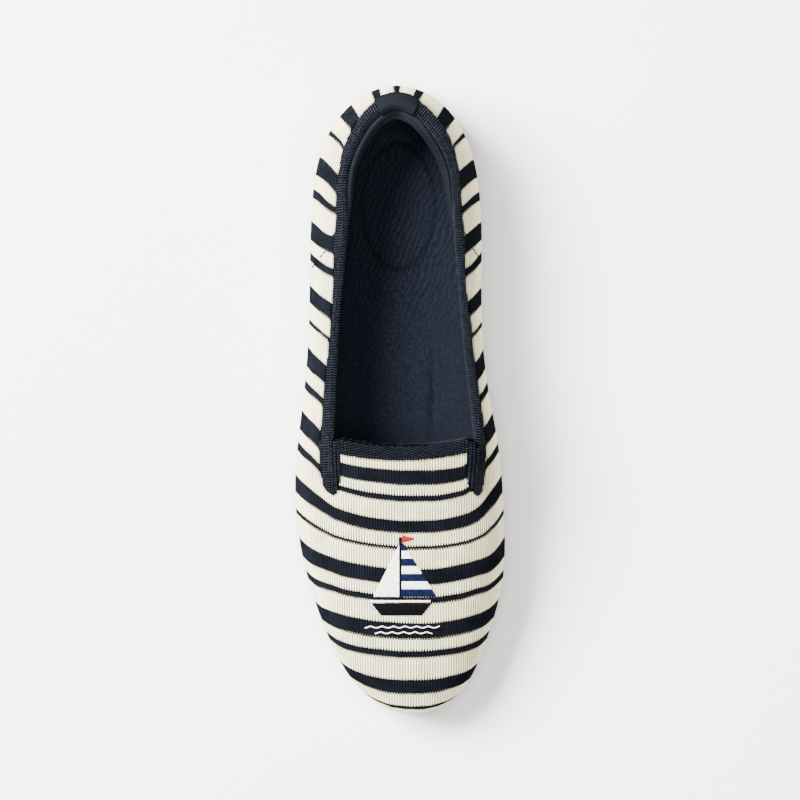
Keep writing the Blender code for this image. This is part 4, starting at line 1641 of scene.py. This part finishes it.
@dataclass
class RibStitches:
    """Rows of raised V stitches on the collar's rib and the flap's border.

    Attributes:
        upper: The upper that carries them.
        pace: Distance between the stitches of a chain.
        pitch: Distance between chains.
        turns: How far round the rim's roll each chain lies, in radians.
        face_chains: How many chains lie under the roll.
        sink: How far a stitch lies in the knit.
        front: y of the collar's front ends.
    """

    upper: KnitUpper
    pace: float = 1.06 * MM
    pitch: float = 1.36 * MM
    turns: tuple[float, ...] = (2.5, 1.6, 0.75)
    face_chains: int = 5
    sink: float = 0.02 * MM
    front: float = -39.4 * MM

    def rim_frame(self, share: Array, turn: float) -> tuple[Array, Array]:
        """Return points and outward ways on the rim's roll, at a turn over it in radians."""
        rise = self.upper.rim_rise(share)
        near, far = self.upper.surface(share, rise), LAST.at(share, rise, LAST.wall)
        over = unit(LAST.point(share, rise) - LAST.point(share, rise - 0.01))
        bulge = self.upper.rim_bulge(share)[..., None]
        place = near + (far - near) * (1 - math.cos(turn)) / 2 + over * bulge * math.sin(turn)
        out = unit(unit(near - far) * math.cos(turn) + over * math.sin(turn))
        return place, out

    def face_frame(self, share: Array, rise: Array) -> tuple[Array, Array]:
        """Return points and outward ways on the knit's outer face."""
        return self.upper.surface(share, rise), -LAST.inward(share, rise)

    def chain(self, place: Array, out: Array, keep: Array,
              offset: float = 0.5) -> tuple[Array, Array, Array]:
        """Return evenly spaced stitches along a line of places, the first at an offset.

        Args:
            place: Points along the line.
            out: Outward ways there.
            keep: Where stitches are shown.
            offset: The first stitch, in paces.

        Returns:
            Their points, outward ways and ways along.
        """
        run = running(place)
        stops = np.arange(self.pace * offset, run[-1], self.pace)
        spots, ways = [
            np.stack([np.interp(stops, run, rows[:, k]) for k in range(3)], -1)
            for rows in (place, out)
        ]
        shown = np.interp(stops, run, keep.astype(float)) > 0.5
        along = np.gradient(spots, axis=0) if len(spots) > 1 else np.ones_like(spots)
        return spots[shown], unit(ways)[shown], unit(along)[shown]

    def collar(self) -> list[tuple[Array, Array, Array]]:
        """Return the chains along the collar."""
        share = LAST.back_way(self.front, 900)[0] % 1.0
        y = LAST.outline(share)[:, 1]
        chains = []
        slot = self.upper.flap_y(self.upper.slot_foot, 0.0)
        for turn, limit in zip(self.turns, (-15 * MM, slot + 3 * MM, slot)):
            chains.append(self.chain(*self.rim_frame(share, turn), y > limit))
        for k in range(self.face_chains):
            rise = self.upper.rim_rise(share) - (0.25 * MM + k * self.pitch) / LAST.climb(share)
            place, out = self.face_frame(share, rise)
            rib = KNIT.reading(share, rise)["rib"]
            chains.append(self.chain(place, out, rib > 0.5, 0.5 + k % 2 / 2))
        return chains

    def flap(self) -> list[tuple[Array, Array, Array]]:
        """Return the chains that run down from the flap's top edge and along its sides."""
        chains, up = [], self.upper
        for side in Side:
            ends = LAST.share_at(up.top_y(1.0), side)
            half = abs(float(LAST.point(ends, 1 + up.slot_rise)[0]))
            count = round(half / self.pitch)
            for k in range(count):
                across = 1 - (0.30 * MM + k * (half - 0.30 * MM) / (count - 0.5)) / half
                top = float(up.top_y(across)) - 0.15 * MM
                y = np.arange(top, -40.5 * MM, -0.15 * MM)
                edge = np.abs(LAST.point(LAST.share_at(y, side), 1 + up.slot_rise)[:, 0])
                share, rise = LAST.locate(side.value * edge * across, y)
                place, out = self.face_frame(share, rise)
                inside = LAST.at(share[:1], rise[:1], LAST.wall)
                lip = (place[:1] + inside) / 2 + np.array((0, 0.95 * MM, 0))
                place = np.concatenate([inside, lip, place])
                back = np.array(((0, 0.9, -0.4), (0, 0.9, 0.5)))
                keep = KNIT.reading(share, rise)["rib"] > 0.35
                chains.append(self.chain(place, np.concatenate([back, out]),
                                         np.concatenate([[True, True], keep]), 0.5 + k % 2 / 2))
        return chains

    def build(self, yarn: Finish) -> list[Piece]:
        """Build the collar's and the flap's stitches.

        Args:
            yarn: The stitches' material.

        Returns:
            The finished pieces.
        """
        things = []
        for name, chains in (("collar_rib", self.collar()), ("flap_rib", self.flap())):
            spots, out, along = (np.concatenate([c[k] for c in chains]) for k in range(3))
            spots = spots - out * self.sink
            grower = knit_stitches(name, yarn)
            things.append(grower.ride(spots, [], {"out": out, "along": along}, "knit_upper"))
        return things


@dataclass
class SeamThreads:
    """The back seam and the short shaping stitches by the heel.

    Attributes:
        upper: The upper that carries them.
        shaping: Plan points in mm at both ends of each line of stitches.
    """

    upper: KnitUpper
    shaping: tuple[tuple[tuple[float, float], tuple[float, float]], ...] = (
        ((-29.9, 59.7), (-32.4, 56.8)), ((-33.7, 55.0), (-35.4, 53.1)),
        ((29.2, 60.6), (31.8, 56.9)), ((-26.2, 66.3), (-27.2, 65.2)), ((25.2, 67.4), (26.4, 66.0)),
    )

    def build(self, thread: Finish) -> Piece:
        """Build all the threads as one piece.

        Args:
            thread: The thread's material.

        Returns:
            The finished piece.
        """
        lines = []
        rises = np.linspace(-0.92, 0.80, 34)
        for low, high in zip(rises[:-1], rises[1:]):
            span = np.linspace(low, high - 0.18 * (high - low), 4)
            arch = np.sin(np.linspace(0, math.pi, 4)) * 0.12 * MM
            lines.append(self.upper.surface(np.zeros(4), span, arch))
        for (ax, ay), (bx, by) in self.shaping:
            count = max(int(math.hypot(bx - ax, by - ay) / 1.3), 2)
            for k in range(count):
                t = np.linspace(k, k + 0.66, 4) / count
                arch = np.sin(np.linspace(0, math.pi, 4)) * 0.22 * MM + 0.16 * MM
                spots = LAST.locate((ax + (bx - ax) * t) * MM, (ay + (by - ay) * t) * MM)
                lines.append(self.upper.surface(*spots, arch))
        return yarn_lines("seam_threads", 0.56 * MM, thread, lines, "knit_upper")


@dataclass
class BoatEmbroidery:
    """A small sailing boat in satin stitch on the vamp.

    Attributes:
        upper: The upper that carries it.
        centre: Plan place of the boat's middle, in mm.
        spacing: Distance between neighbouring threads, in mm.
        sail: The sails' foot and head, in mm ahead of the centre.
    """

    upper: KnitUpper
    centre: tuple[float, float] = (1.0, -72.0)
    spacing: float = 0.36
    sail: tuple[float, float] = (-6.9, 14.6)

    def stitch(self, start: tuple[float, float], end: tuple[float, float],
               lift: float = 0.16) -> Array:
        """Return one thread's points over the knit, from one plan place to another."""
        t = np.linspace(0, 1, 5)
        x = (self.centre[0] + start[0] + (end[0] - start[0]) * t) * MM
        y = (self.centre[1] + start[1] + (end[1] - start[1]) * t) * MM
        over = lift + 0.22 * np.sin(math.pi * t) ** 0.7
        return self.upper.surface(*LAST.locate(x, y), over * MM)

    def filled(self, low: Callable[[float], float], high: Callable[[float], float],
               first: float, last: float) -> list[Array]:
        """Return upright threads between two edges, side by side from first to last.

        Args:
            low: Lower edge at a place across.
            high: Upper edge.
            first: Where the threads begin.
            last: Where they end.

        Returns:
            The threads' points.
        """
        lines = []
        for x in np.arange(first + self.spacing / 2, last, self.spacing):
            bottom, top = low(float(x)), high(float(x))
            pieces = max(int(round((top - bottom) / 5.0)), 1)
            for k in range(pieces):
                a = bottom + (top - bottom) * k / pieces
                b = bottom + (top - bottom) * (k + 1) / pieces
                if b - a > 0.5:
                    lines.append(self.stitch((x, a), (x, b)))
        return lines

    def build(self, threads: dict[str, Finish]) -> list[Piece]:
        """Build the boat, one piece for each colour of thread.

        Args:
            threads: Materials by colour.

        Returns:
            The finished pieces.
        """
        lines: dict[str, list[Array]] = {name: [] for name in threads}
        lines["black"] += self.filled(lambda x: -14.5 + max(0.0, abs(x + 0.4) - 8.2) * 1.3,
                                      lambda x: -9.6, -12.6, 12.4)
        lines["white"] += [
            self.stitch((x, y), (x + 2.3, y), 0.30) for y in (-8.9, -8.5)
            for x in np.arange(-12.8, 11.0, 2.4)
        ]
        lines["black"] += [self.stitch((-1.45, y), (-0.35, y + 0.12))
                           for y in np.arange(-8.0, 17.0, self.spacing)]
        foot, head = self.sail
        bands = np.linspace(foot, head, 8)
        for k, (low, high) in enumerate(zip(bands[:-1], bands[1:])):
            name = "navy" if k % 2 == 0 else "white"
            reach = 0.3 + (head - low) * 13.2 / 21.4
            lines[name] += self.filled(
                lambda x: float(low), lambda x: min(float(high), head - (x - 0.3) * 21.4 / 13.2),
                -0.35, reach)
        lines["white"] += self.filled(
            lambda x: foot, lambda x: 12.2 + (x + 2.2) * 19.0 / 9.4, -11.4, -1.45)
        lines["red"] += self.filled(
            lambda x: 14.9 + (x + 0.2) * 0.26, lambda x: 17.9 - (x + 0.2) * 0.26, -0.2, 5.4)
        for row in range(2):
            reach = 15.0 - row * 4.0
            for k, left in enumerate(np.arange(-reach, reach - 1.0, 2.3)):
                crest = -19.2 - row * 2.3
                rise = 0.75 if k % 2 == 0 else -0.75
                lines["white"].append(
                    self.stitch((left, crest - rise / 2), (left + 2.25, crest + rise / 2)))
        return [yarn_lines(f"boat_{name}_thread", 0.40 * MM, material, lines[name], "knit_upper")
                for name, material in threads.items()]


# ---- Inside the shoe ----


@dataclass
class HeelPad:
    """The padded crescent inside the heel, blown up a little by simulation.

    Attributes:
        end_y: y of both its tips.
        swell: Thickness of its padding at the back.
        edge: Thickness of its cover and its thinned edge.
        rises: Where it begins and ends up the wall.
        taper: How much higher it begins at its tips.
        tip_drop: How much lower it ends at its tips.
        tab_drop: How far its edge dips at the tab.
        tab_clear: How far it stands off the wall there.
        tab_half: Half the dip's width, as a share of the outline.
        cap: How far the simulation may move a point.
        frames: Length of the simulation.
        cover: The simulated cover's settings.
        columns: Columns of faces around.
        rows: Rows of faces up.
    """

    end_y: float = 70 * MM
    swell: float = 5.9 * MM
    edge: float = 0.9 * MM
    rises: tuple[float, float] = (0.10, 1.005)
    taper: float = 0.72
    tip_drop: float = 0.10
    tab_drop: float = 0.004
    tab_clear: float = 0.8 * MM
    tab_half: float = 0.0135
    cap: float = 1.1 * MM
    frames: int = 20
    cover: dict[str, Any] = field(default_factory=lambda: {
        "quality": 6, "mass": 0.2, "tension_stiffness": 12, "compression_stiffness": 8,
        "bending_stiffness": 0.6, "use_pressure": True, "uniform_pressure_force": 4.0,
        "vertex_group_mass": "held",
    })
    columns: int = 96
    rows: int = 26

    def sheets(self) -> tuple[Array, Array, Array, Array]:
        """Return the wall side, the foot side, and the places around and up."""
        shares, first, last = LAST.back_way(self.end_y, self.columns + 1)
        climb = np.sin(np.linspace(0, math.pi / 2, self.rows + 1))
        share, t = np.meshgrid(shares, climb, indexing="ij")
        bow = np.maximum(np.sin(math.pi * (share - first) / (last - first)), 0) ** 0.6
        under_tab = np.exp(-((share / self.tab_half / 1.4) ** 4))
        low = self.rises[0] + self.taper * (1 - bow)
        high = self.rises[1] - self.tab_drop * under_tab - self.tip_drop * (1 - bow) ** 2
        rise = low + (high - low) * t
        roll = np.sqrt(1 - 0.90 * (np.maximum(t - 0.89, 0) / 0.11) ** 2)
        swell = self.swell * bow * (0.62 + 0.38 * smooth(t, 0, 0.45)) * roll
        wall = LAST.wall + 2 * LAST.gap + self.tab_clear * under_tab * smooth(t, 0.7, 0.95)
        near = LAST.at(share, rise, wall)
        far = LAST.at(share, rise, wall + self.edge + swell * 0.93)
        around = np.repeat(running(near[:, -1])[:, None], self.rows + 1, 1)
        up = t * np.linalg.norm(near[:, -1] - near[:, 0], axis=-1)[:, None]
        return near, far, around / MM, up / MM

    def puff(self, thing: Piece, held: Array) -> None:
        """Blow the pad up under its cover and keep the settled shape.

        Args:
            thing: The pad.
            held: Numbers of the points that stay.
        """
        rest = np.array([v.co[:] for v in thing.data.vertices])
        copy = linked("pad_cloth", thing.data.copy())
        group = copy.vertex_groups.new(name="held")
        group.add([int(i) for i in held], 1.0, "REPLACE")
        cloth = copy.modifiers.new("cloth", "CLOTH")
        for name, value in self.cover.items():
            setattr(cloth.settings, name, value)
        cloth.settings.effector_weights.gravity = 0.0
        cloth.point_cache.frame_start, cloth.point_cache.frame_end = 1, self.frames
        scene = bpy.context.scene
        for number in range(1, self.frames + 1):
            scene.frame_set(number)
        graph = bpy.context.evaluated_depsgraph_get()
        blown = copy.evaluated_get(graph)
        moved = np.array([v.co[:] for v in blown.data.vertices])
        scene.frame_set(1)
        bpy.data.objects.remove(copy, do_unlink=True)
        shift = moved - rest
        size = np.linalg.norm(shift, axis=1, keepdims=True)
        shift = shift / np.maximum(size, 1e-9) * self.cap * np.tanh(size / self.cap)
        thing.data.vertices.foreach_set("co", (rest + shift).astype(np.float32).ravel())
        thing.data.update()
        reach = float(np.linalg.norm(shift, axis=1).max()) / MM
        LOG.info("heel pad: moved by up to %.2f mm", reach)

    def build(self, cloth: Finish) -> Piece:
        """Build the pad.

        Args:
            cloth: Its material.

        Returns:
            The finished piece.
        """
        near, far, around, up = self.sheets()
        solid = SheetSolid.from_grid("heel_collar_pad", far, near, np.stack([around, up], -1),
                                     True, 0.35 * MM, ROLL, 0.4)
        solid.numbers = {"around": around.ravel(), "up": up.ravel()}
        thing = solid.object((cloth, cloth), 70.0)
        self.puff(thing, np.arange(len(solid.near), len(solid.points)))
        thing = ride_along(thing, "heel_collar_pad", "heel_collar_pad")
        return thing


@dataclass
class HeelTab:
    """The smooth tab folded over the rim at the heel's back.

    Attributes:
        half_share: Half its width round the outline.
        thickness: Thickness of its material.
        path: Rise and depth in mm of the side that faces the upper.
        stitched: Share of its way at which the inner stitch line lies.
        columns: Columns of faces across.
        steps: Steps along its way over the rim.
    """

    half_share: float = 0.0148
    thickness: float = 1.0 * MM
    path: Rows = (
        (0.755, -0.60), (0.86, -0.60), (0.97, -0.70), (1.02, -0.35), (1.035, 1.15), (1.027, 2.10),
        (1.014, 2.45),
    )
    stitched: float = 0.9
    columns: int = 30
    steps: int = 60

    def sheets(self) -> tuple[Array, Array]:
        """Return the side that faces the upper and the side that shows."""
        knots = np.array(self.path)
        corners = LAST.at(np.zeros(len(knots)), knots[:, 0], knots[:, 1] * MM)
        places = running(corners)
        t = np.linspace(0, 1, self.steps + 1)
        curves = [MonotoneCurve(tuple(zip(places / places[-1], knots[:, k]))) for k in (0, 1)]
        across = np.linspace(-1, 1, self.columns + 1)
        near, far = [], []
        for a in across:
            trim = 0.10 * max(abs(a) - 0.62, 0) ** 2 / 0.1444
            way = trim + (1 - trim) * t
            share = np.full(len(t), a * self.half_share) % 1.0
            rise, depth = curves[0](way), curves[1](way) * MM
            path = LAST.at(share, rise, depth)
            along = np.gradient(path, axis=0)
            around = path - LAST.at((share + 0.002) % 1.0, rise, depth)
            out = unit(np.cross(along, around))
            near.append(path)
            far.append(path + out * self.thickness)
        return np.array(near), np.array(far)

    def build(self, cloth: Finish,
              thread: Finish) -> list[Piece]:
        """Build the tab and the stitch lines across its ends.

        Args:
            cloth: Its material.
            thread: The thread's material.

        Returns:
            The finished pieces.
        """
        near, far = self.sheets()
        wide = np.linspace(0, 16, self.columns + 1)
        tall = np.linspace(0, 26, self.steps + 1)
        flat = np.stack(np.meshgrid(wide, tall, indexing="ij"), -1)
        solid = SheetSolid.from_grid("heel_tab", far, near, flat, True, 0.3 * MM, ROLL, 0.5)
        tab = ride_along(solid.object((cloth, cloth), 75.0), "heel_tab", "heel_tab")
        lines = []
        for row in (3, round(self.stitched * self.steps)):
            outward = unit(far[:, row] - near[:, row])
            line = far[:, row] + outward * 0.05 * MM
            for k in range(1, self.columns - 2, 3):
                arch = np.sin(np.linspace(0, math.pi, 3)) * 0.12 * MM
                lines.append(line[k: k + 3] + outward[k: k + 3] * arch[:, None])
        return [tab, yarn_lines("heel_tab_stitches", 0.32 * MM, thread, lines, "heel_tab")]


@dataclass
class Insole:
    """The cushioned insole, dished under the heel.

    Attributes:
        inset: Distance in from the outline.
        thickness: Its thickness.
        dish: Depth of the heel cup.
        cup: y at which the cup begins and is full.
        oval: Middle and radii of the ring embossed round the heel, in mm.
        crease_x: Where the crease by the arch runs, in mm.
        parts: Parts of its length.
        spans: Spans across.
    """

    inset: float = 5.9 * MM
    thickness: float = 3.6 * MM
    dish: float = 2.0 * MM
    cup: tuple[float, float] = (30 * MM, 80 * MM)
    oval: tuple[float, float, float, float] = (-0.5, 78, 14.6, 25.2)
    crease_x: float = 12.6
    parts: int = 260
    spans: int = 72

    def build(self, cloth: Finish) -> Piece:
        """Build the insole.

        Args:
            cloth: Its material.

        Returns:
            The finished piece.
        """
        part = (1 - np.cos(np.linspace(0, math.pi, self.parts + 1))) / 2
        part = 0.004 + part * 0.992
        side = np.sin(np.linspace(-1, 1, self.spans + 1) * math.pi / 2)
        plan = LAST.plan(part, side, self.inset + 0.3 * MM)
        x, y = plan[..., 0], plan[..., 1]
        dish = self.dish * smooth(y, *self.cup) * (1 - side[None, :] ** 2)
        low = LAST.seat(y) + LAST.gap
        xm, ym = x / MM, y / MM
        oval = np.hypot((xm - self.oval[0]) / self.oval[2], (ym - self.oval[1]) / self.oval[3])
        cup = 0.35 * (smooth(oval, 0.92, 1.06) - 1)
        off = xm - (self.crease_x + 0.02 * (ym - 3))
        folded = smooth(ym, -24, -8) * smooth(ym, 26, 8)
        crease = (-0.5 * bell(off, 0.9) + 0.22 * bell(off - 2.2, 1.3)) * folded
        sag = -0.5 * np.exp(-(((xm - 4) / 26) ** 2 + ((ym + 58) / 30) ** 2))
        quilt = 0.05 * np.sin(xm / 3.1 + ym / 11) * np.sin(ym / 7.3)
        ring = bell(oval - 1, 0.045)
        top = low + self.thickness - dish + (cup + crease + sag + quilt) * MM - 0.25 * MM * ring
        edge = [(0.04, 0.55), (0.14, 0.95), (0.35, 1.05), (0.7, 1.0), (0.93, 0.8)]
        solid = SheetSolid.from_grid("insole", np.dstack([x, y, top]), np.dstack([x, y, low]),
                                     plan / MM, False, 0.3 * MM, edge, 0.3)
        # pressed marks the ring's groove and the crease, where the cloth is painted darker as
        # shade.
        solid.numbers = {"pressed": np.maximum(ring, bell(off, 0.8) * folded).ravel()}
        thing = ride_along(solid.object((cloth, cloth), 60.0), "insole", "insole")
        return thing


# ---- The sole ----


@dataclass
class Outsole:
    """The rubber sole: grooved tread, rounded foot and a lined side wall.

    Attributes:
        top_inset: How far its top edge lies in from the outline.
        foot_inset: How far its foot lies in.
        lug: Depth of the grooves.
        groove: Width of a groove.
        slope: Width of a groove's sloping side.
        border: How far across the lugs run, as a share.
        grooves: First and last y in mm, and how many grooves between.
        wall: The side wall's (way down, stand-off as a share of bulge) steps.
        bulge: The side wall's stand-off.
        parts: Parts of its length.
        spans: Spans across.
    """

    top_inset: float = 1.5 * MM
    foot_inset: float = 3.4 * MM
    lug: float = 1.3 * MM
    groove: float = 2.8 * MM
    slope: float = 0.5 * MM
    border: float = 0.80
    grooves: tuple[tuple[float, float, int], ...] = ((-96, -24, 7), (59, 107, 5))
    wall: Rows = (
        (0.04, 0.42), (0.1, 0.55), (0.17, 0.62), (0.2, 0.4), (0.225, 0.4), (0.25, 0.72),
        (0.36, 0.98), (0.48, 1.15), (0.6, 1.32), (0.7, 1.38), (0.8, 1.32), (0.88, 1.08),
        (0.94, 0.72), (0.98, 0.32),
    )
    bulge: float = 1.35 * MM
    parts: int = 500
    spans: int = 44

    def build(self, rubber: Finish) -> Piece:
        """Build the sole.

        Args:
            rubber: Its material.

        Returns:
            The finished piece.
        """
        part = 0.004 + np.linspace(0, 1, self.parts + 1) * 0.992
        part = part - 0.35 * np.sin(2 * math.pi * part) / (2 * math.pi)
        side = np.linspace(-1, 1, self.spans + 1)
        top, foot = (LAST.plan(part, side, inset) for inset in (self.top_inset, self.foot_inset))
        y = foot[..., 1]
        middle = (y[:, :1] + y[:, -1:]) / 2
        cut = np.zeros(y.shape)
        for first, last, count in self.grooves:
            for at in np.linspace(first, last, count) * MM:
                off = np.abs(middle - at)
                cut = np.maximum(cut, smooth(off, self.groove / 2, self.groove / 2 - self.slope))
        cut = cut * smooth(np.abs(side), self.border, self.border - 0.04)[None, :]
        upper = np.dstack([top, LAST.seat(top[..., 1])])
        lower = np.dstack([foot, LAST.underside(y, side[None, :] + 0 * y) + self.lug * cut])
        solid = SheetSolid.from_grid("outsole", upper, lower, top / MM, False,
                                     self.bulge, self.wall, 1.0)
        return ride_along(solid.object((rubber, rubber), 35.0), "outsole", "outsole")


# ---- The studio ----


@dataclass
class Studio:
    """A pale floor, a soft key light from above the outer side, and the camera.

    Attributes:
        view: Width of floor that the camera sees.
        distance: Height of the camera.
        key: Strength of the key light, in watts.
        fill: Strength of the fill light.
        sky: Strength of the surrounding light.
    """

    view: float = 0.322
    distance: float = 6.0
    key: float = 218.0
    fill: float = 42.0
    sky: float = 0.22

    def light(self, name: str, place: tuple[float, float, float], size: float,
              power: float) -> None:
        """Add a square soft light that looks at the shoe."""
        lamp = bpy.data.lights.new(name, "AREA")
        lamp.shape, lamp.size, lamp.energy = "SQUARE", size, power
        thing = linked(name, lamp)
        thing.location = place
        thing.rotation_euler = Vector(place).to_track_quat("Z", "Y").to_euler()

    def build(self, paper: Finish) -> Piece:
        """Build the floor, the lights and the camera.

        Args:
            paper: Its material.

        Returns:
            The floor.
        """
        mesh = bpy.data.meshes.new("floor")
        wide = 3.0
        mesh.from_pydata([(-wide, -wide, 0), (wide, -wide, 0), (wide, wide, 0), (-wide, wide, 0)],
                         [], [(0, 1, 2, 3)])
        mesh.materials.append(paper)
        floor = linked("floor", mesh)
        self.light("key", (-0.93, 0.52, 1.24), 0.9, self.key)
        self.light("fill", (0.15, -0.10, 1.80), 0.8, self.fill)
        world = bpy.data.worlds.new("studio")
        world.use_nodes = True
        sky = world.node_tree.nodes["Background"]
        sky.inputs["Color"].default_value = (1.0, 0.99, 0.97, 1)
        sky.inputs["Strength"].default_value = self.sky
        bpy.context.scene.world = world
        camera = bpy.data.cameras.new("camera")
        camera.sensor_width = 36.0
        camera.lens = 36.0 * (self.distance - 0.03) / self.view
        thing = linked("camera", camera)
        thing.location = (0.0, 0.0, self.distance)
        bpy.context.scene.camera = thing
        return floor


def main() -> None:
    """Build the shoe from the sole up, then the studio."""
    logging.basicConfig(level=logging.INFO, format="%(name)s: %(message)s")
    knit, lining = StripedKnit().build(), TerryLining().build()
    threads = {name: RibYarn(f"{name}_thread", *look).build() for name, look in {
        "black": ((13, 13, 15), 0.4, 0.7), "navy": ((16, 23, 47), 0.9, 0.7),
        "white": ((240, 240, 236), 0.4, 0.7), "red": ((150, 18, 24), 0.3, 0.6)}.items()}
    rib = RibYarn("rib_yarn", (34, 37, 43), 1.2).build()
    Outsole().build(SoleRubber().build())
    Insole().build(TwillFootbed().build())
    HeelPad().build(SlateMesh().build())
    HeelTab().build(Microfibre().build(), threads["black"])
    upper = KnitUpper()
    upper.build(knit, lining)
    RibStitches(upper).build(rib)
    SeamThreads(upper).build(threads["black"])
    BoatEmbroidery(upper).build(threads)
    Studio().build(StudioPaper().build())


if __name__ == "__main__":
    main()
